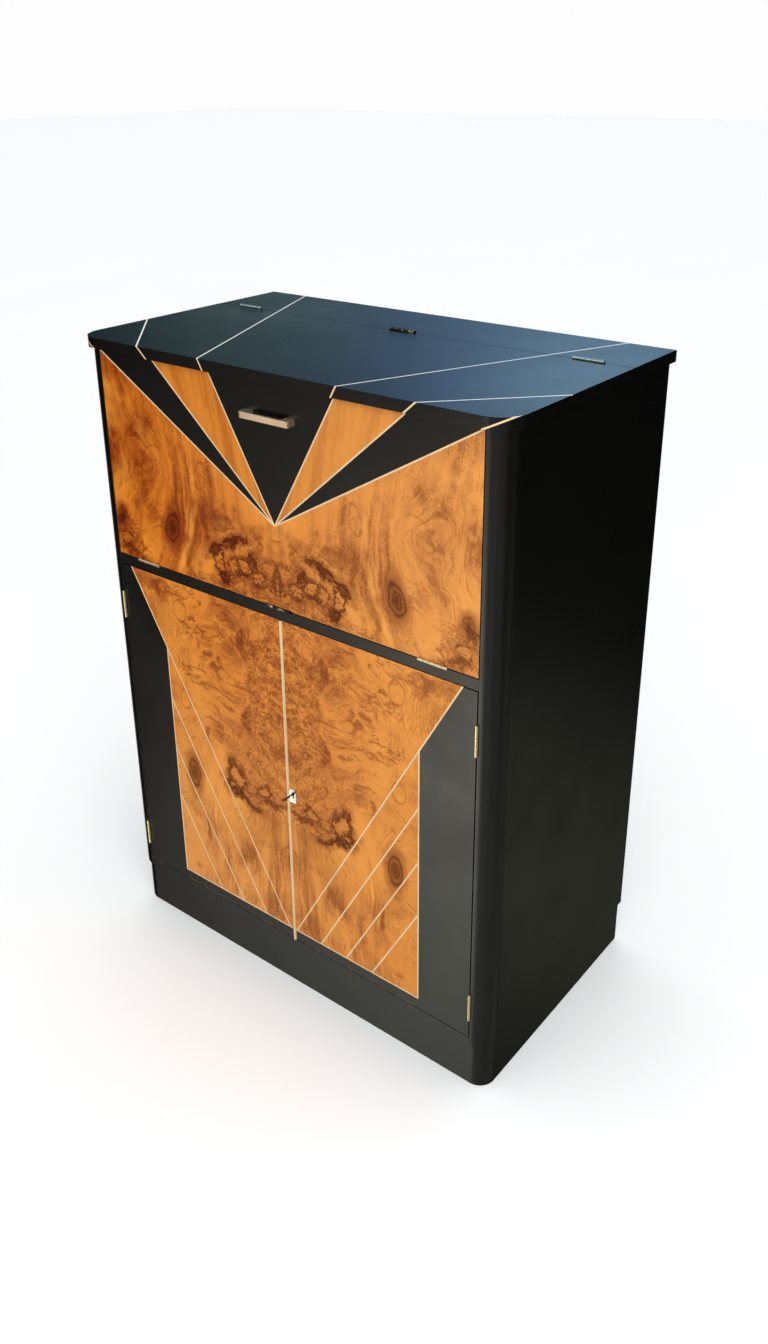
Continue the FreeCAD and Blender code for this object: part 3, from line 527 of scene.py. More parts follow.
# The large features of the two veneers. Each row gives the place across from the middle and up from the
# floor, the half width and half height (all in millimetres), the turn in degrees and the strength.
FLAP_FIGURE = {
    "seed": 0.0,
    "level_flow": 2.0,
    # Shares of painted light, paler towards the right: at the left and right above, then below
    "fade": (0.00, 0.56, 0.00, 0.56),
    "reach": (0.37, 0.743, 1.096),
    "knots": [(229, 824, 13.5, 27, 15, 1.0), (352, 818, 12, 12, 0, 0.8)],
    "ovals": [(258, 905, 43, 66, 0, 0.55), (264, 912, 14, 22, 0, 0.5)],
    "loops": [(156, 926, 11, 24, 12, 0.9), (110, 872, 60, 26, 12, 0.4), (229, 815, 26, 55, 12, 0.4)],
    "shade": [(125, 862, 58, 22, 10, 0.9), (362, 945, 14, 75, 0, 0.9), (138, 905, 12, 50, -8, 0.45),
        (202, 930, 8, 60, 4, 0.6), (290, 840, 30, 30, 0, 0.5), (330, 1020, 30, 30, 0, 0.6),
        (222, 838, 20, 50, 10, 0.6), (10, 845, 10, 30, 0, 0.7), (290, 985, 34, 14, -30, 0.4)],
    "pale": [(60, 900, 50, 20, 35, 0.4), (300, 830, 30, 16, 0, 0.5), (155, 775, 12, 30, 20, 0.4)],
    "streaks": [(175, 910, 5, 36, 3, 0.5), (182, 842, 7, 42, 11, 0.65), (206, 776, 9, 42, 31, 0.75),
        (190, 762, 4, 26, 28, 0.5), (192, 850, 3, 34, 8, 0.5)],
    "mottle": [(30, 775, 100, 46, 0, 1.0), (338, 770, 34, 42, 0, 0.9), (100, 752, 55, 16, 0, 0.8),
        (60, 825, 50, 18, 20, 0.5)],
    "flecks": [(70, 842, 65, 22, 0, 0.8), (330, 760, 45, 50, 0, 1.0), (180, 752, 25, 12, 0, 0.7)],
    "eyes": [(123.5, 789.5, 9.5, 21, -20, 1.0), (91, 790, 12, 15, 10, 0.7), (66, 798, 19, 12, 0, 0.9),
        (40, 781, 14, 11, 0, 0.7), (18, 760, 12, 10, 0, 0.5), (345, 775, 10, 14, 0, 0.7)],
    "dark": [(94, 828, 38, 7.5, -27, 1.0), (132, 808, 11, 11, 0, 1.0), (112, 763, 11, 14, -20, 1.0),
        (50, 806, 9, 16, 25, 0.9), (76, 782, 14, 6.5, 10, 0.9), (4, 790, 6, 22, 0, 0.7),
        (34, 768, 16, 6, -15, 0.8), (356, 806, 10, 16, 20, 0.8), (335, 755, 18, 6, 10, 0.7)],
    "fan": [(20, 860, 20, 30, 0, 0.6)],
    "crescents": [],
}
DOOR_FIGURE = {
    "seed": 3.7,
    "level_flow": 0.43,
    # Shares of painted light, paler at the lower left and upper right: at the left and right above, then
    # below
    "fade": (0.10, 0.42, 0.62, 0.38),
    "reach": (0.34, 0.12, 0.72),
    "knots": [(224, 354, 14, 28, 0, 0.9), (235, 148, 6, 6, 0, 0.3)],
    "ovals": [(226, 345, 30, 58, 0, 0.5), (232, 505, 16, 24, 0, 0.5)],
    "loops": [(228, 671, 13, 22, 0, 0.9), (230, 640, 8, 12, 0, 0.7), (232, 500, 12, 18, 0, 0.8),
        (0, 182, 36, 112, 0, 1.0), (0, 165, 80, 175, 0, 0.5), (0, 512, 98, 50, 0, 0.5)],
    "shade": [(100, 245, 20, 60, 28, 0.7), (160, 170, 16, 40, 20, 0.7), (190, 400, 16, 34, 14, 0.7),
        (235, 262, 16, 30, 0, 0.6), (215, 470, 18, 20, 0, 0.6), (300, 660, 26, 20, 30, 0.6),
        (25, 320, 45, 45, 0, 0.9), (30, 225, 40, 80, 0, 0.35), (78, 372, 66, 26, 10, 0.9),
        (160, 456, 26, 18, 0, 0.8), (215, 330, 22, 60, 0, 0.7), (310, 705, 30, 16, 0, 0.4)],
    "pale": [(240, 225, 30, 45, 0, 0.7), (120, 470, 45, 20, 0, 0.4), (240, 610, 30, 30, 0, 0.5),
        (150, 200, 50, 30, 20, 0.4), (205, 690, 12, 30, 0, 0.5)],
    "streaks": [(176, 298, 4.5, 44, 5, 0.9), (167, 352, 3, 20, 12, 0.6), (190, 236, 4, 24, -14, 0.7)],
    "mottle": [(0, 655, 96, 52, 0, 1.0), (0, 512, 96, 49, 0, 1.0), (0, 585, 82, 60, 0, 1.0),
        (0, 710, 78, 30, 0, 1.0), (60, 385, 80, 40, 0, 0.9), (30, 445, 90, 24, 0, 0.8)],
    "flecks": [(190, 640, 45, 32, 0, 1.0), (150, 600, 45, 22, 0, 1.0), (145, 515, 35, 20, 0, 1.0),
        (250, 702, 75, 25, 0, 0.9), (165, 458, 30, 26, 0, 1.0), (205, 560, 35, 25, 0, 0.9),
        (235, 148, 28, 16, 0, 0.5), (120, 660, 40, 50, 0, 0.8), (120, 560, 50, 40, 0, 0.8)],
    "eyes": [(118, 389, 12, 26, -14, 0.9), (55, 381, 17, 10, 0, 0.8), (86, 374, 14, 10, 20, 0.6)],
    "dark": [(112, 356, 26, 6.5, 24, 1.0), (82, 343, 18, 7.5, 28, 0.9), (128, 413, 9, 10, 15, 0.9),
        (30, 366, 26, 4.5, -8, 0.7), (137, 378, 5.5, 18, 8, 0.9), (104, 401, 4, 16, -20, 0.7)],
    "fan": [(34, 215, 50, 100, 0, 1.0), (30, 310, 60, 40, 0, 0.8)],
    "crescents": [(0, 655, 98, 53, 0, 1.0), (0, 512, 98, 50, 0, 1.0)],
}


def build_burl_group(name, figure):
    """Book-matched burl: flowing ground, knots, ovals, loops, mottled areas, flecks and dark clusters."""
    colors = dict.fromkeys(("Bright", "Light", "Middle", "Deep", "Dark", "Faded"), WHITE)
    given, leave = new_group(name, {"Place": None, **colors}, ("Color", "Height"))
    x, _, z = axes(given["Place"])

    # Painted light: the veneer is made paler where more light falls on it; shares at the left and right
    # above, then below
    half, bottom, top = figure["reach"]
    left_above, right_above, left_below, right_below = figure["fade"]
    below = span(x, -half, half, left_below, right_below)
    painted_light_above = span(x, -half, half, left_above, right_above)
    fade = (painted_light_above - below) * span(z, bottom, top) + below
    # How far each shade is pulled towards the painted light's paler colour
    shares = {"Bright": 0.9, "Light": 1.0, "Middle": 0.85, "Deep": 0.35, "Dark": 0.12}
    bright, light, middle, deep, darkest = (
        mix(fade * share, given[shade], given["Faded"]) for shade, share in shares.items())

    flat = point(abs(x), z, figure["seed"])
    slow = warped(flat, 3.4, 0.13)
    swirl = warped(slow, 12.0, 0.045, 3.0)
    curl = warped(swirl, 48.0, 0.014, 3.0)
    wobble = warped(warped(flat, 20.0, 0.016), 75.0, 0.008, 3.0)
    ragged = warped(warped(warped(flat, 30.0, 0.036), 95.0, 0.015), 280.0, 0.004, 3.0)
    calm = warped(flat, 14.0, 0.020)
    roam = warped(warped(flat, 16.0, 0.045), 70.0, 0.022, 4.0)

    def spots(kind):
        """Spots of one kind: place and half sizes in metres with the turn, then the strength."""
        return [([part / 1000 for part in row[:4]] + [row[4]], row[5]) for row in figure[kind]]

    def within(place, shape):
        """Place within a spot, 1 at its rim."""
        across, up, wide, tall, turn = shape
        mapped = made("ShaderNodeMapping", {
            "Vector": place, "Location": (across, up, figure["seed"]),
            "Rotation": (0.0, 0.0, math.radians(turn)), "Scale": (wide, tall, 1.0)}, vector_type="TEXTURE")
        return stretched(mapped, 1.0, 1.0, 0.0)

    def distance(place, shape):
        """Distance from a spot's centre, 1 at its rim."""
        return vector_maths("LENGTH", within(place, shape))

    def gather(kind, place, start, stop):
        """Strongest of the spots of one kind, each from nothing at start to full at stop."""
        return strongest(*(
            span(distance(place, shape), start, stop, 0.0, share) for shape, share in spots(kind)))

    def rims(kind, place, width):
        """Lines of a given half width along the rims of the spots of one kind."""
        lines = []
        for shape, share in spots(kind):
            reach = width / min(shape[2:4])
            lines.append(span(abs(distance(place, shape) - 1.0), reach, reach * 0.5, 0.0, share))
        return strongest(*lines)

    def ridges(place, scale, detail, width, bend):
        """Crooked lines where a noise passes its middle."""
        return span(abs(noise(place, scale, detail, 0.6, bend) - 0.5), width, width * 0.3)

    def rings(away, count):
        """A wave that falls to nothing at each ring around a spot."""
        return maths("PINGPONG", away * count, 0.5)

    # Ground: the grain runs upward, or level in the burled upper part, and bends around knots and ovals
    across_grain, along_grain, _ = axes(swirl)
    for shape, share in spots("knots") + spots("ovals"):
        away = distance(calm, shape)
        across_grain = across_grain + 2.718 ** (away * away * -0.4) * (shape[2] * 2.6 * share)
    lanes = point(across_grain, along_grain * 0.10, figure["seed"])
    cloud = noise(swirl, 9.0, 5.0, 0.6)
    upright = noise(lanes, 55.0, 4.0, 0.6)
    level = noise(stretched(curl, 0.45, 1.0, 1.0), 42.0, 5.0, 0.62, 0.8)
    high = span(z, figure["level_flow"] - 0.04, figure["level_flow"] + 0.05)
    bands = upright * (1.0 - high) + level * high
    fibres = noise(stretched(lanes, 1.0, 2.2, 1.0), 640.0, 3.0, 0.65)
    pores = noise(curl, 330.0, 3.0, 0.7)
    tone = cloud * 0.50 + bands * 0.50 + (fibres - 0.5) * 0.22 + (pores - 0.5) * 0.20
    tone = span(tone, 0.43, 0.58, clamp=False)
    tone = tone + gather("pale", wobble, 1.5, 0.3) * 0.45 - gather("shade", roam, 1.35, 0.45) * 0.75
    tone = strongest(maths("MINIMUM", tone, 1.3), -0.6)
    warm = noise(slow, 7.0)
    comb = noise(stretched(warped(flat, 9.0, 0.02), 1.0, 0.07, 1.0), 85.0, 4.0, 0.6)
    comb = span(comb, 0.54, 0.42) * gather("fan", roam, 1.3, 0.6)
    ground = layered(
        middle, (span(tone, 0.0, 1.0), light), (span(tone, 0.20, -0.50, 0.0, 0.9), deep),
        (span(warm, 0.49, 0.63, 0.0, 0.52), bright), (comb * 0.48, deep))

    # Thin brown lines of growth, and bright streaks
    growth = span(rings(upright, 9.0), 0.17, 0.04) * span(cloud, 0.60, 0.44) * span(level, 0.40, 0.52)
    streak = gather("streaks", wobble, 1.4, 0.3) * span(upright, 0.38, 0.56, 0.35, 1.0)
    border = rims("streaks", wobble, 0.0016) * 0.35
    ground = layered(ground, (growth * 0.55, deep), (border, deep), (streak, bright))

    # Ovals with faint rings, and loops
    circles = [rims("loops", wobble, 0.0016)]
    for shape, share in spots("ovals"):
        away = distance(calm, shape)
        circles.append(span(rings(away, 2.6), 0.12, 0.0) * span(away, 1.25, 0.95, 0.0, share))
    circle = strongest(*circles) * span(level, 0.38, 0.54, 0.30, 1.0)
    ground = layered(ground, (circle * 0.66, deep))

    # Mottled burl of small curls with veins, and flecks in loose groups
    curls = noise(curl, 44.0, 7.0, 0.70, 1.5)
    grit = noise(curl, 190.0, 5.0, 0.75, 0.9)
    crumbs = curls * 0.52 + grit * 0.48
    vein = ridges(curl, 34.0, 4.0, 0.022, 1.4) * span(curls, 0.56, 0.48)
    mottle = layered(
        mix(0.45, middle, deep), (span(crumbs, 0.47, 0.54), mix(0.45, light, middle)),
        (span(crumbs, 0.470, 0.435), deep), (span(crumbs, 0.540, 0.585), light),
        (vein * 0.9, mix(0.6, deep, darkest)))
    mottled = gather("mottle", roam, 1.08, 0.92)
    flecked = strongest(gather("flecks", roam, 1.5, 0.4), mottled * 0.55)
    fleck = noise(stretched(curl, 0.62, 1.35, 1.0), 64.0, 7.0, 0.80, 0.5) + flecked * 0.11
    there = span(flecked, 0.0, 0.25)
    blotch = span(fleck, 0.600, 0.630) * there
    core = span(fleck, 0.645, 0.665) * there
    glint = span(fleck, 0.560, 0.505, 0.0, 0.45) * flecked
    color = layered(
        ground, (mottled * 0.92, mottle), (blotch * 0.62, mix(0.5, middle, deep)),
        (core * 0.50, mix(0.25, deep, darkest)), (glint, bright))

    # Knots: a halo, rings and a dark heart
    halos, hearts = [], []
    for shape, share in spots("knots"):
        away = distance(wobble, shape)
        halos.append(span(away, 2.3, 1.0, 0.0, 0.75 * share))
        ringed = span(away, 1.2, 0.95, 0.0, share) * span(rings(away, 2.2), 0.30, 0.08, 0.5, 1.0)
        hearts.extend([ringed, span(away, 0.42, 0.25, 0.0, share)])
    heart = strongest(*hearts)
    color = layered(color, (strongest(*halos), deep), (heart * 0.85, darkest))

    # Crescents at the sides of the mottled rounds
    moons = []
    for shape, share in spots("crescents"):
        inner = within(wobble, shape)
        disc = span(vector_maths("LENGTH", inner), 1.03, 0.98, 0.0, share)
        moons.append(disc * span(axes(inner)[0], 0.66, 0.90))
    if moons:
        color = mix(strongest(*moons) * span(crumbs, 0.58, 0.48, 0.45, 0.95), color, deep)

    # Dark clusters: ragged strokes and rimmed eyes with pale hearts
    around = strongest(gather("dark", ragged, 2.6, 1.1), gather("eyes", ragged, 2.0, 1.1))
    around = around * span(crumbs, 0.60, 0.44, 0.45, 1.0)
    dark = strongest(gather("dark", ragged, 1.10, 0.98), rims("eyes", ragged, 0.0030) * 0.9)
    dark = dark * span(grit, 0.60, 0.50, 0.55, 1.0)
    dark = strongest(dark, ridges(curl, 30.0, 3.0, 0.026, 1.6) * around * 0.85)
    pale = gather("eyes", ragged, 0.95, 0.75) * 0.75
    color = layered(
        color, (around * 0.78, deep), (pale, mix(span(grit, 0.38, 0.56), middle, light)),
        (dark * 0.96, darkest))
    give(leave, Color=color, Height=fibres * 0.5 - strongest(heart, dark) * 0.6)


def scuffed(place, rough, amount):
    """The scuff group's results, with a roughness that varies about a value."""
    scuff = use_group("scuff", place=place, amount=amount)
    return {**scuff, "Roughness": rough + scuff["Roughness"]}


def on_top(place, start):
    """1 on what lies higher than the slab's upper face, or than a start measured from it."""
    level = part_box("lid")[1].z + start
    return span(axes(place)[2], level - 0.0001, level + 0.0001)


def paint(name, tint, rough, amount):
    bsdf, place = new_material(name, IOR=1.5)
    scuff = scuffed(place, rough, amount)
    color = mix(scuff["Mask"], tint, [min(1.0, 2.6 * part + 0.006) for part in tint])
    # The doors' lower edge is chipped to the wood
    low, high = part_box("door_right")
    x, y, z = axes(place)
    edge = span(z, low.z + 0.0034, low.z + 0.0012) * span(z, low.z - 0.0004, low.z - 0.0001)
    edge = edge * span(y, low.y + 0.0018, low.y + 0.0014) * span(abs(x), high.x, high.x - 0.0004)
    chips = noise(stretched(place, 0.5, 1.0, 1.0), 150.0, 4.0, 0.65)
    color = mix(edge * span(chips, 0.51, 0.57), color, (0.125, 0.052, 0.028))
    finish_material(bsdf, color, scuff["Roughness"], scuff["Height"], 0.00002)


def burl_veneer(name, figure, finish):
    bsdf, place = new_material(name, IOR=1.45, Specular_IOR_Level=0.03)
    # The figure group also paints light: the burl is made paler where more light falls on it
    burl = use_group(figure, place=place, bright=finish.veneer_bright, light=finish.veneer_light,
                     middle=finish.veneer_mid, deep=finish.veneer_deep, dark=finish.veneer_dark,
                     faded=finish.veneer_faded)
    finish_material(bsdf, burl["Color"], scuffed(place, 0.36, 0.6)["Roughness"], burl["Height"], 0.00003)


def plain_veneer(name, finish):
    """Straight grain that leans with the rays, mirrored at the middle."""
    bsdf, place = new_material(name, IOR=1.45, Specular_IOR_Level=0.03)
    x, _, z = axes(place)
    leaning = made("ShaderNodeMapping", {
        "Vector": point(abs(x), 0.0, z), "Rotation": (0.0, math.radians(-16.0), 0.0)}, vector_type="POINT")
    grain = use_group("straight_grain", place=leaning, light=finish.ray_light, dark=finish.ray_dark)
    # Painted light: the rays are made paler towards the right, where more light falls on them
    color = mix(span(x, -0.16, 0.16, 0.0, 0.30), grain["Color"], finish.veneer_faded)
    finish_material(bsdf, color, scuffed(place, 0.36, 0.6)["Roughness"], grain["Height"], 0.00003)


def grained(name, light, dark, rough, painted_light_above=None):
    bsdf, place = new_material(name, IOR=1.45)
    grain = use_group("straight_grain", place=place, light=light, dark=dark)
    # Painted light: what lies above the slab's upper face gets a paler, cooler colour for the light that
    # falls on the top
    color = mix(on_top(place, -0.0003), grain["Color"], painted_light_above) if painted_light_above else grain["Color"]
    finish_material(bsdf, color, scuffed(place, rough, 0.8)["Roughness"], grain["Height"], 0.00004)


def metal(name, tint, rough, amount=1.0, body=1.0, painted_light_above=None):
    bsdf, place = new_material(name, Metallic=body)
    scuff = scuffed(place, rough, amount)
    color = mix(scuff["Mask"], tint, [part * 0.62 for part in tint])
    # Painted light: metal above the slab's upper face gets a cooler colour for the light reflected on the
    # top
    if painted_light_above:
        color = mix(on_top(place, 0.0002), color, painted_light_above)
    finish_material(bsdf, color, scuff["Roughness"], scuff["Height"], 0.00001)


def worn_paint(name, metal_tint):
    """Paint worn through to the metal in patches."""
    bsdf, place = new_material(name, IOR=1.5)
    worn = span(noise(place, 150.0, 4.0, 0.65), 0.53, 0.58)
    scuff = scuffed(place, span(worn, 0.0, 1.0, 0.38, 0.28), 1.5)
    color = mix(worn, (0.004, 0.004, 0.004), metal_tint)
    finish_material(bsdf, color, scuff["Roughness"], scuff["Height"] - worn, 0.00003)
    fill(bsdf.inputs["Metallic"], worn)


# Operators

class CABINET_OT_materials(bpy.types.Operator):
    """Makes the shared effects and all the finishes"""
    bl_idname = "cabinet.materials"
    bl_label = "Finishes"

    def execute(self, context):
        finish = context.scene.cabinet_finish
        build_scuff_group()
        build_grain_group()
        build_burl_group("flap_figure", FLAP_FIGURE)
        build_burl_group("door_figure", DOOR_FIGURE)
        paint("black_paint", finish.paint, 0.31, 1.0)
        burl_veneer("flap_burl", "flap_figure", finish)
        burl_veneer("door_burl", "door_figure", finish)
        plain_veneer("ray_veneer", finish)
        grained("pale_line", finish.line, [part * 0.82 for part in finish.line], 0.42, finish.line_painted_light_above)
        grained("inner_veneer", (0.30, 0.13, 0.045), (0.13, 0.048, 0.016), 0.42)
        grained("back_plywood", (0.045, 0.038, 0.030), (0.020, 0.016, 0.013), 0.62)
        metal("brass", finish.brass, 0.26, 1.0, 0.90, finish.brass_painted_light_above)
        metal("rose_brass", finish.rose, 0.15, 0.8, 0.90)
        metal("nickel", (0.90, 0.87, 0.82), 0.22, 0.8)
        metal("steel", (0.46, 0.45, 0.43), 0.34)
        metal("dark_steel", (0.10, 0.085, 0.07), 0.40)
        worn_paint("painted_hinge", finish.brass)
        for node, thing in NODES.items():
            thing.data.materials.clear()
            thing.data.materials.append(MATERIALS[finish_of(node)])
        return {"FINISHED"}


class CABINET_OT_carcass(bpy.types.Operator):
    """Softens the edges of the sides, posts, rail, floor, shelf, back and plinth"""
    bl_idname = "cabinet.carcass"
    bl_label = "Carcass"

    def execute(self, context):
        sizes = context.scene.cabinet_sizes
        soften_box("side_left", "side_left_board", sizes.paint_edge, 3, (LEFT, BACK, UNDER))
        soften_box("side_right", "side_right_board", sizes.paint_edge, 3, (RIGHT, BACK, UNDER))
        soften_box("corner_post_left", "corner_post_left_round", sizes.panel_edge, 2, (RIGHT, FRONT))
        soften_box("corner_post_right", "corner_post_right_round", sizes.panel_edge, 2, (LEFT, FRONT))
        soften_box("rail", "rail_board", sizes.panel_edge, 3, (FRONT, UNDER, UPPER))
        soften_box("bottom_board", "bottom_shelf", sizes.panel_edge, 3, (FRONT, UPPER))
        soften_box("bar_floor", "bar_floor_board", sizes.shelf_edge, 3, (FRONT, UNDER, UPPER))
        soften_box("cupboard_shelf", "loose_shelf", sizes.shelf_edge, 3)
        soften_box("door_stop", "stop_strip", sizes.paint_edge, 2)
        soften_box("back_panel", "back_sheet", sizes.panel_edge, 2)
        for node in ("plinth_front", "plinth_sides", "plinth_back", "plinth_corner_blocks"):
            soften(node, node + "_board", [(lambda edge: lies(edge, Z, 0.0), sizes.paint_edge, 2)])
        return {"FINISHED"}


class CABINET_OT_top(bpy.types.Operator):
    """Softens the lid, the strip behind it and the pale lines that run over both"""
    bl_idname = "cabinet.top"
    bl_label = "Top"

    def execute(self, context):
        sizes = context.scene.cabinet_sizes
        radius = sizes.corner_radius
        lid_low, lid_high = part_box("lid")
        strip_low, strip_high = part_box("top_strip")
        half, front, back = lid_high.x, lid_low.y, strip_high.y

        def on_outline(point):
            if abs(point.x) > half - radius and point.y < front + radius:
                reach = math.hypot(abs(point.x) - half + radius, point.y - front - radius)
                return abs(reach - radius) < 0.00005
            return min(abs(abs(point.x) - half), abs(point.y - front), abs(point.y - back)) < 0.00003

        def rim(level):
            return lambda edge: lies(edge, Z, level) and all(on_outline(vert.co) for vert in edge.verts)

        def seam(place):
            return lambda edge: lies(edge, Z, lid_high.z) and lies(edge, Y, place)

        for node, name, under, joint in (
                ("lid", "lid_board", lid_low.z, lid_high.y),
                ("top_strip", "strip_board", strip_low.z, strip_low.y),
                ("lid_lines", "lid_inlay", lid_low.z, lid_high.y),
                ("top_strip_lines", "strip_inlay", None, strip_low.y)):
            rules = [(rim(lid_high.z), sizes.paint_edge, 4), (seam(joint), sizes.panel_edge, 2)]
            if under is not None:
                rules.append((rim(under), sizes.panel_edge, 2))
            soften(node, name, rules)
        return {"FINISHED"}


class CABINET_OT_panels(bpy.types.Operator):
    """Softens the flap and the doors with their veneer and pale lines"""
    bl_idname = "cabinet.panels"
    bl_label = "Flap and doors"

    def straight_rays(self, piece):
        """Gives the two triangles between the rays their straight-grained veneer."""
        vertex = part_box("flap_lines")[0].z
        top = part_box("flap")[1]
        slope = 0.8 * top.x / (top.z - vertex)
        piece.data.materials.append(MATERIALS["ray_veneer"])
        piece.active_material_index = 1

        def between(face):
            middle = face.calc_center_median()
            return abs(middle.x) < slope * (middle.z - vertex)

        pick(piece, "FACE", between)
        bpy.ops.object.material_slot_assign()
        leave_edit()

    def execute(self, context):
        edge = context.scene.cabinet_sizes.panel_edge
        for panel in ("flap", "door_left", "door_right"):
            outline = box_edge(*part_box(panel))
            for node in (panel, panel + "_veneer", panel + "_lines"):
                name = node.replace("veneer", "burl").replace("lines", "inlay")
                piece = soften(node, name + "_piece", [(outline, edge, 3)])
                if node == "flap_veneer":
                    self.straight_rays(piece)
        return {"FINISHED"}


class CABINET_OT_handle(bpy.types.Operator):
    """Models the flat bar handle with its two feet, and the screws that hold it"""
    bl_idname = "cabinet.handle"
    bl_label = "Handle"

    bar = 0.004
    foot = 0.016
    bend = 0.006
    bend_radius = 0.0036
    edge_radius = 0.00045
    screw_inset = 0.004
    shank_radius = 0.0019
    head_radius = 0.0039
    head_height = 0.0023

    def execute(self, context):
        low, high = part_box("handle")
        bar_back = low.y + self.bar
        grip = high.x - self.foot
        piece = block("handle_grip", low, (high.x, bar_back, high.z))
        slice_across(piece, X, (-grip, grip, high.x - self.bend, low.x + self.bend))
        pull(piece, lambda face: face.normal.y > 0.9 and abs(face.calc_center_median().x) > grip,
             (0.0, high.y - bar_back, 0.0))
        round_edges(piece, box_edge(low, high, (LEFT, RIGHT, FRONT)), self.bend_radius, 7)
        round_edges(piece, lambda edge: not lies(edge, Y, high.y) and sharp(edge, 0.6), self.edge_radius, 3)
        smooth(piece, 30.0)
        stand_in(piece, "handle")

        low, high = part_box("handle_screws")
        middle = (low.z + high.z) / 2
        screws = []
        for x in (low.x + self.screw_inset, high.x - self.screw_inset):
            head_at = (x, high.y - 0.0001, middle)
            shank_end = (x, high.y - 0.002, middle)
            screws.append(turned("shank", self.shank_radius, (x, low.y, middle), shank_end, 20))
            screws.append(screw_at(head_at, (0, 1, 0), self.head_radius, self.head_height, 0.4))
        stand_in(join("handle_screw_pair", screws), "handle_screws")
        return {"FINISHED"}


class CABINET_OT_bead(bpy.types.Operator):
    """Models the half-round bead over the meeting edge of the doors"""
    bl_idname = "cabinet.bead"
    bl_label = "Bead"

    def execute(self, context):
        low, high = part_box("centre_bead")
        piece = block("bead_strip", low, high)

        def end(edge):
            first, second = (vert.co for vert in edge.verts)
            return first.z == second.z and max(first.y, second.y) < high.y

        round_edges(piece, box_edge(low, high, (LEFT, RIGHT, FRONT)), (high.x - low.x) * 0.49, 8)
        round_edges(piece, end, 0.0004, 2)
        smooth(piece, 40.0)
        stand_in(piece, "centre_bead")
        return {"FINISHED"}


class CABINET_OT_escutcheon(bpy.types.Operator):
    """Models the escutcheon with its round top, rolled rim, keyhole and two small pins"""
    bl_idname = "cabinet.escutcheon"
    bl_label = "Escutcheon"

    key_height = 0.0185
    hole_radius = 0.0029
    slot_half = 0.0014
    slot_length = 0.009
    rim_width = 0.0011
    rim_depth = 0.0004
    rim_radius = 0.0003
    foot_radius = 0.0012
    pin_radius = 0.0009
    pin_height = 0.0008
    reach = 0.002

    def execute(self, context):
        low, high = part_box("escutcheon")
        middle = (high.x + low.x) / 2
        axis = low.z + self.key_height
        piece = block("escutcheon_plate", low, high)
        round_edges(piece, box_edge(low, high, (LEFT, RIGHT, UPPER)), (high.x - low.x) / 2 * 0.999, 14)
        round_edges(piece, box_edge(low, high, (LEFT, RIGHT, UNDER)), self.foot_radius, 4)
        pick(piece)
        bpy.ops.mesh.remove_doubles(threshold=0.00005)
        bpy.ops.mesh.normals_make_consistent(inside=False)
        leave_edit()
        pick(piece, "FACE", lambda face: face.normal.y < -0.9)
        bpy.ops.mesh.inset(thickness=self.rim_width)
        bpy.ops.transform.translate(value=(0.0, self.rim_depth, 0.0))
        leave_edit()
        round_edges(piece, lambda edge: lies(edge, Y, low.y), self.rim_radius, 3)
        front, back = low.y - self.reach, high.y + self.reach
        cut(piece, turned("hole_tool", self.hole_radius, (middle, front, axis), (middle, back, axis)))
        cut(piece, block("slot_tool", (middle - self.slot_half, front, axis - self.slot_length),
                         (middle + self.slot_half, back, axis)))
        smooth(piece, 30.0)
        stand_in(piece, "escutcheon")
        y = low.y - 0.00005
        pins = [screw_at((middle, y, height), (0, -1, 0), self.pin_radius, self.pin_height, slot=False)
                for height in (axis + 0.0062, low.z + 0.0042)]
        seat(join("escutcheon_pins", pins), "escutcheon", "nickel")
        return {"FINISHED"}


class CABINET_OT_key(bpy.types.Operator):
    """Models the key with its bow, collar, hollow shank and bit"""
    bl_idname = "cabinet.key"
    bl_label = "Key"

    shank_radius = 0.0014
    bore = 0.0008
    shank_start = 0.0066
    bow_place = 0.0035
    bow_radius = 0.0026
    bow_wire = 0.0009
    collars = ((0.0085, 0.00195), (0.0102, 0.0017))
    collar_length = 0.0011
    bit_half = 0.0009
    bit_length = 0.0034
    notch = (0.0013, 0.0021)
    notch_depth = 0.0016

    def execute(self, context):
        low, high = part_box("key")
        x = (low.x + high.x) / 2
        z = high.z - self.shank_radius
        start = (x, low.y + self.shank_start, z)
        shank = tube("shank", self.shank_radius, self.bore, start, (x, high.y, z), 24)
        round_edges(shank, lambda edge: lies(edge, Y, high.y), 0.0002, 2)
        deselect()
        bpy.ops.mesh.primitive_torus_add(
            major_segments=40, minor_segments=14, major_radius=self.bow_radius, minor_radius=self.bow_wire,
            location=(x, low.y + self.bow_place, z))
        parts = [shank, as_made("bow")]
        for place, radius in self.collars:
            y = low.y + place
            collar = turned("collar", radius, (x, y, z), (x, y + self.collar_length, z), 28)
            round_edges(collar, every, 0.0004, 3)
            parts.append(collar)
        bit = block("bit", (x - self.bit_half, high.y - self.bit_length, low.z),
                    (x + self.bit_half, high.y, z - self.bit_half))
        back, front = (high.y - place for place in self.notch)
        slice_across(bit, Y, (back, front))
        pull(bit, lambda face: face.normal.z < -0.9 and front < face.calc_center_median().y < back,
             (0.0, 0.0, self.notch_depth))
        piece = join("cabinet_key", [*parts, bit])
        smooth(piece)
        stand_in(piece, "key")
        return {"FINISHED"}


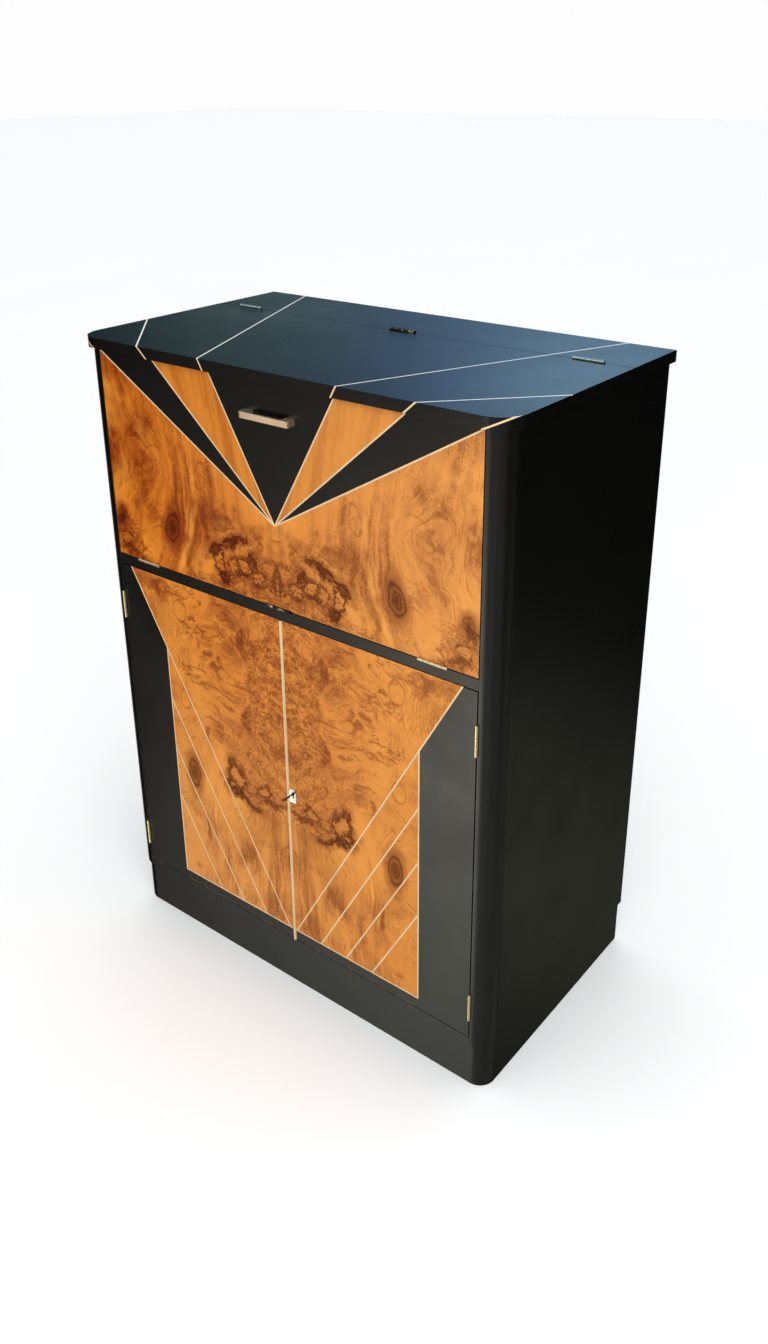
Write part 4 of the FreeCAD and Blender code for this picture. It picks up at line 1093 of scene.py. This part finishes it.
class CABINET_OT_hinges(bpy.types.Operator):
    """Models one butt hinge and places ten, with their pins and screws"""
    bl_idname = "cabinet.hinges"
    bl_label = "Hinges"

    gap = 0.0003
    thickness = 0.0012
    bore = 0.00135
    pin_radius = 0.0013
    knuckles = 5
    screw_heights = (0.14, 0.5, 0.86)
    screw_reach = 0.62

    def leaf(self, sizes, side, first):
        """One leaf with its knuckles; its axis is Z and it reaches along Y."""
        radius, length = sizes.knuckle_radius, sizes.hinge_length
        near, far = side * self.gap / 2, side * (self.gap / 2 + self.thickness)
        x_low, x_high = min(near, far), max(near, far)
        start = radius + self.gap
        plate = block("plate", (x_low, start, 0.0), (x_high, sizes.leaf_width, length))
        for height in self.screw_heights:
            deselect()
            bpy.ops.mesh.primitive_cone_add(
                vertices=24, radius1=sizes.screw_head * 1.12, radius2=sizes.screw_head * 0.4, depth=0.0014,
                location=(near + side * 0.0006, sizes.leaf_width * self.screw_reach, length * height),
                rotation=(0.0, side * math.pi / 2, 0.0))
            cut(plate, bpy.context.active_object)

        def outer(edge):
            return all(vert.co.xy.length > radius - 0.0001 for vert in edge.verts)

        pieces = [plate]
        pitch = length / self.knuckles
        for index in range(first, self.knuckles, 2):
            base = index * pitch + (self.gap / 2 if index > 0 else 0.0)
            top = (index + 1) * pitch - (self.gap / 2 if index < self.knuckles - 1 else 0.0)
            barrel = tube("barrel", radius, self.bore, (0.0, 0.0, base), (0.0, 0.0, top), 28)
            round_edges(barrel, outer, 0.0002, 2)
            tab = block("tab", (x_low, (self.bore + radius) / 2, base),
                        (x_high, start + self.thickness, top))
            pieces.extend([barrel, tab])
        whole = join("leaf", pieces)
        smooth(whole)
        return whole

    def heads(self, sizes, side):
        """The three screw heads of one leaf."""
        reach = sizes.leaf_width * self.screw_reach
        return join("heads", [
            screw_at((side * (self.gap / 2 + 0.00012), reach, sizes.hinge_length * height), (-side, 0, 0),
                     sizes.screw_head, 0.0008, 0.5 + 1.1 * index)
            for index, height in enumerate(self.screw_heights)])

    def execute(self, context):
        sizes = context.scene.cabinet_sizes
        length = sizes.hinge_length
        leaves = {1: self.leaf(sizes, 1, 0), -1: self.leaf(sizes, -1, 1)}
        pin = turned("pin", self.pin_radius, (0.0, 0.0, 0.00005), (0.0, 0.0, length - 0.00005), 24)
        round_edges(pin, every, 0.0003, 3)
        smooth(pin)
        screws = {side: self.heads(sizes, side) for side in leaves}

        def stand(directions, places):
            """Matrices that lay the leaf's own axes along three directions at places."""
            turn = Matrix(directions).transposed().to_4x4()
            return [Matrix.Translation(place) @ turn for place in places]

        def middle_of(low, high):
            return (low.y + high.y) / 2, (low.z + high.z) / 2

        low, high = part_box("flap_hinge_pins")
        flap_at = stand(((0, 0, -1), (0, 1, 0), (1, 0, 0)),
                        [(x, *middle_of(low, high)) for x in (low.x, -length / 2, high.x - length)])
        low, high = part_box("lid_hinge_pins")
        lid_at = stand(((0, 1, 0), (0, 0, -1), (-1, 0, 0)),
                       [(x, *middle_of(low, high)) for x in (low.x + length, length / 2, high.x)])
        low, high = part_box("door_hinge_pins")
        x, y = high.x - self.pin_radius, (low.y + high.y) / 2
        right_at = stand(((1, 0, 0), (0, 1, 0), (0, 0, 1)), [(x, y, z) for z in (low.z, high.z - length)])
        left_at = stand(((-1, 0, 0), (0, 1, 0), (0, 0, -1)), [(-x, y, z) for z in (low.z + length, high.z)])

        def place_all(node, places, side=None):
            source = pin if side is None else leaves[side]
            stand_in(join(node + "_set", [own_copy("copy", source, place) for place in places]), node)
            if side is not None:
                heads = join(node + "_screws", [own_copy("copy", screws[side], place) for place in places])
                seat(heads, node)

        for fixed, moving, places in (
                ("flap_hinge_frame_leaves", "flap_hinge_flap_leaves", flap_at[::2]),
                ("flap_middle_hinge_frame_leaf", "flap_middle_hinge_flap_leaf", flap_at[1:2]),
                ("lid_hinge_strip_leaves", "lid_hinge_lid_leaves", lid_at[::2]),
                ("lid_middle_hinge_strip_leaf", "lid_middle_hinge_lid_leaf", lid_at[1:2])):
            place_all(fixed, places, 1)
            place_all(moving, places, -1)
        place_all("door_hinge_post_leaves", left_at + right_at, 1)
        place_all("left_hinge_door_leaves", left_at, -1)
        place_all("right_hinge_door_leaves", right_at, -1)
        place_all("flap_hinge_pins", flap_at)
        place_all("lid_hinge_pins", lid_at)
        place_all("door_hinge_pins", left_at + right_at)
        for piece in (pin, *leaves.values(), *screws.values()):
            bpy.data.objects.remove(piece)
        return {"FINISHED"}


class CABINET_OT_stays(bpy.types.Operator):
    """Softens the slotted stays, their brackets and their studs"""
    bl_idname = "cabinet.stays"
    bl_label = "Stays"

    def execute(self, context):
        edge = context.scene.cabinet_sizes.metal_edge
        for node in ("flap_stay_arms", "lid_stay_arms", "flap_stay_brackets", "lid_stay_brackets",
                     "stay_studs"):
            soften(node, node + "_steel", [(every, edge, 2)])
        return {"FINISHED"}


class CABINET_OT_lock(bpy.types.Operator):
    """Softens the lock, its bolt and keep, the small bolt and the shelf pins, and adds screws"""
    bl_idname = "cabinet.lock"
    bl_label = "Lock and small bolt"

    head_height = 0.0006

    def execute(self, context):
        sizes = context.scene.cabinet_sizes
        for node, name in (
                ("lock_case", "lock_body"), ("lock_bolt", "lock_tongue"), ("lock_keep", "striking_plate"),
                ("bolt_guide", "small_bolt_guide"), ("bolt_rod", "small_bolt_rod"),
                ("shelf_pins", "shelf_peg_set")):
            soften_box(node, name, sizes.metal_edge, 2)
        low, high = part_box("lock_case")
        middle = (low.y + high.y) / 2
        heads = [screw_at((low.x - 0.0002, middle, z), (-1, 0, 0), 0.0016, self.head_height, 0.7)
                 for z in (low.z + 0.005, high.z - 0.0035)]
        heads += [screw_at((x, high.y + 0.0004, z), (0, 1, 0), sizes.screw_head, self.head_height, 30 * x)
                  for x in (low.x + 0.0065, high.x - 0.0045) for z in (low.z + 0.0045, high.z - 0.0045)]
        seat(join("lock_screws", heads), "lock_case")
        low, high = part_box("lock_keep")
        middle = (low.y + high.y) / 2
        heads = [screw_at((high.x + 0.0002, middle, z), (1, 0, 0), 0.0015, self.head_height, 0.9)
                 for z in (low.z + 0.0024, high.z - 0.0024)]
        seat(join("striking_plate_screws", heads), "lock_keep")
        return {"FINISHED"}


class CABINET_OT_stage(bpy.types.Operator):
    """Sets up the floor, the lights and the camera"""
    bl_idname = "cabinet.stage"
    bl_label = "Stage"

    # What the gloss sees of the room: direction, angles in degrees where the glow ends and is full, colour
    glows = [
        ((-0.41, 0.82, 0.41), 18.0, 3.6, (0.05, 0.10, 0.95)),
        ((-0.41, 0.82, 0.41), 12.0, 2.4, (1.34, 2.40, 2.05)),
        ((-0.67, 0.74, 0.04), 12.0, 2.4, (0.37, 0.62, 0.58)),
        ((-0.50, 0.70, 0.50), 60.0, 30.0, (0.045, 0.075, 0.095)),
        ((-0.34, -0.75, -0.565), 18.0, 3.6, (2.80, 2.90, 2.50)),
        ((-0.46, -0.76, -0.46), 12.0, 2.4, (1.26, 0.88, 0.67)),
        ((-0.655, -0.699, -0.286), 5.0, 2.5, (0.78, 0.68, 0.56)),
        ((-0.278, -0.917, -0.286), 14.0, 3.0, (1.05, 0.97, 0.90)),
        ((0.278, -0.917, -0.286), 24.0, 8.0, (0.40, 0.37, 0.34)),
        ((0.699, -0.655, -0.286), 20.0, 8.0, (0.30, 0.28, 0.26)),
        ((-0.566, -0.594, -0.571), 4.5, 2.0, (0.85, 0.85, 0.83)),
        ((0.23, -0.73, -0.64), 26.0, 8.0, (0.43, 0.44, 0.38)),
        ((0.68, -0.355, -0.64), 26.0, 8.0, (0.34, 0.35, 0.29)),
        ((0.73, 0.23, -0.64), 26.0, 8.0, (0.28, 0.29, 0.24)),
        ((-0.50, -0.76, 0.40), 22.0, 8.0, (1.25, 1.18, 1.08)),
        ((0.46, 0.66, -0.59), 12.0, 2.4, (0.34, 0.35, 0.25)),
        ((-0.50, -0.55, 0.67), 38.0, 15.0, (0.40, 0.48, 0.62)),
        ((0.80, -0.40, 0.45), 35.0, 12.0, (0.45, 0.45, 0.46)),
        ((-0.75, 0.45, -0.45), 30.0, 8.0, (0.50, 0.50, 0.48)),
        ((0.0, 0.0, 1.0), 40.0, 10.0, (0.24, 0.30, 0.42)),
    ]

    def surroundings(self, scene, sky):
        """A white room for the eye and for soft light, and a dim room with a few glows for the gloss."""
        world = bpy.data.worlds.new("studio")
        scene.world = world
        world.use_nodes = True
        world.cycles.sampling_method = "NONE"
        tree = world.node_tree
        plain = tree.nodes["Background"]
        plain.inputs["Color"].default_value = WHITE
        direction = Field(tree.nodes.new("ShaderNodeTexCoord").outputs["Generated"])
        parts = []
        for toward, wide, full, color in self.glows:
            near = vector_maths("DOT_PRODUCT", direction, tuple(Vector(toward).normalized()))
            share = span(near, math.cos(math.radians(wide)), math.cos(math.radians(full))) ** 1.5
            parts.append(mix(share, (0.0, 0.0, 0.0), color))
        glow = reduce(lambda total, part: mix(1.0, total, part, "ADD"), [*parts, (0.006, 0.006, 0.006)])
        room = put("ShaderNodeBackground", {"Color": glow, "Strength": 1.0})
        rays = tree.nodes.new("ShaderNodeLightPath").outputs
        fill(plain.inputs["Strength"], Field(rays["Is Camera Ray"]) * (0.985 - sky) + sky)
        chosen = put("ShaderNodeMixShader", {
            0: Field(rays["Is Glossy Ray"]), 1: Field(plain.outputs[0]), 2: Field(room.outputs[0])})
        fill(tree.nodes["World Output"].inputs["Surface"], Field(chosen.outputs[0]))

    def floor(self):
        deselect()
        bpy.ops.mesh.primitive_plane_add(size=60.0, location=(0.0, 0.0, 0.0))
        floor = bpy.context.active_object
        floor.name = "floor"
        bsdf, place = new_material("studio_floor", IOR=1.3)
        cloud = noise(place, 1.3)
        color = mix(cloud, (0.953, 0.964, 0.968), (0.967, 0.978, 0.982))
        finish_material(bsdf, color, span(cloud, 0.0, 1.0, 0.75, 0.85))
        floor.data.materials.append(MATERIALS["studio_floor"])
        floor.visible_glossy = False

    def key_light(self, scene, power):
        data = bpy.data.lights.new("key_light", "AREA")
        data.shape = "RECTANGLE"
        data.size, data.size_y = 1.2, 1.0
        data.energy = power
        lamp = bpy.data.objects.new("key_light", data)
        scene.collection.objects.link(lamp)
        lamp.location = (1.25, -1.25, 1.75)
        aim = Vector((0.0, -0.2, 0.7)) - lamp.location
        lamp.rotation_euler = aim.to_track_quat("-Z", "Y").to_euler()
        lamp.visible_glossy = False
        lamp.visible_camera = False

    def execute(self, context):
        scene = context.scene
        stage = scene.cabinet_stage
        self.floor()
        self.surroundings(scene, stage.sky)
        self.key_light(scene, stage.key)
        lens = bpy.data.cameras.new("camera")
        camera = bpy.data.objects.new("camera", lens)
        scene.collection.objects.link(camera)
        camera.location = stage.camera_place
        camera.rotation_euler = (math.pi / 2 - stage.camera_pitch, 0.0, stage.camera_yaw)
        camera.rotation_euler.rotate_axis("Z", stage.camera_roll)
        lens.sensor_fit = "VERTICAL"
        lens.sensor_height = 36.0
        lens.lens = stage.camera_lens
        lens.shift_y = stage.camera_shift
        lens.clip_start = 0.02
        scene.camera = camera
        scene.view_settings.view_transform = "Standard"
        return {"FINISHED"}


OPERATORS = [
    CABINET_OT_materials, CABINET_OT_carcass, CABINET_OT_top, CABINET_OT_panels, CABINET_OT_handle,
    CABINET_OT_bead, CABINET_OT_escutcheon, CABINET_OT_key, CABINET_OT_hinges, CABINET_OT_stays,
    CABINET_OT_lock, CABINET_OT_stage]


class CABINET_PT_panel(bpy.types.Panel):
    """Buttons that dress the cabinet, in order"""
    bl_idname = "CABINET_PT_panel"
    bl_label = "Cocktail cabinet"
    bl_space_type = "VIEW_3D"
    bl_region_type = "UI"
    bl_category = "Cabinet"

    def draw(self, context):
        for operator in OPERATORS:
            self.layout.operator(operator.bl_idname)
        scene = context.scene
        for group in (scene.cabinet_sizes, scene.cabinet_finish, scene.cabinet_stage):
            for name in group.__annotations__:
                self.layout.prop(group, name)


CLASSES = [CabinetSizes, CabinetFinish, CabinetStage, *OPERATORS, CABINET_PT_panel]


def register():
    for item in CLASSES:
        bpy.utils.register_class(item)
    bpy.types.Scene.cabinet_sizes = PointerProperty(type=CabinetSizes)
    bpy.types.Scene.cabinet_finish = PointerProperty(type=CabinetFinish)
    bpy.types.Scene.cabinet_stage = PointerProperty(type=CabinetStage)


def unregister():
    del bpy.types.Scene.cabinet_stage
    del bpy.types.Scene.cabinet_finish
    del bpy.types.Scene.cabinet_sizes
    for item in reversed(CLASSES):
        bpy.utils.unregister_class(item)


def main():
    register()
    for operator in OPERATORS:
        family, name = operator.bl_idname.split(".")
        getattr(getattr(bpy.ops, family), name)()


if __name__ == "__main__":
    main()
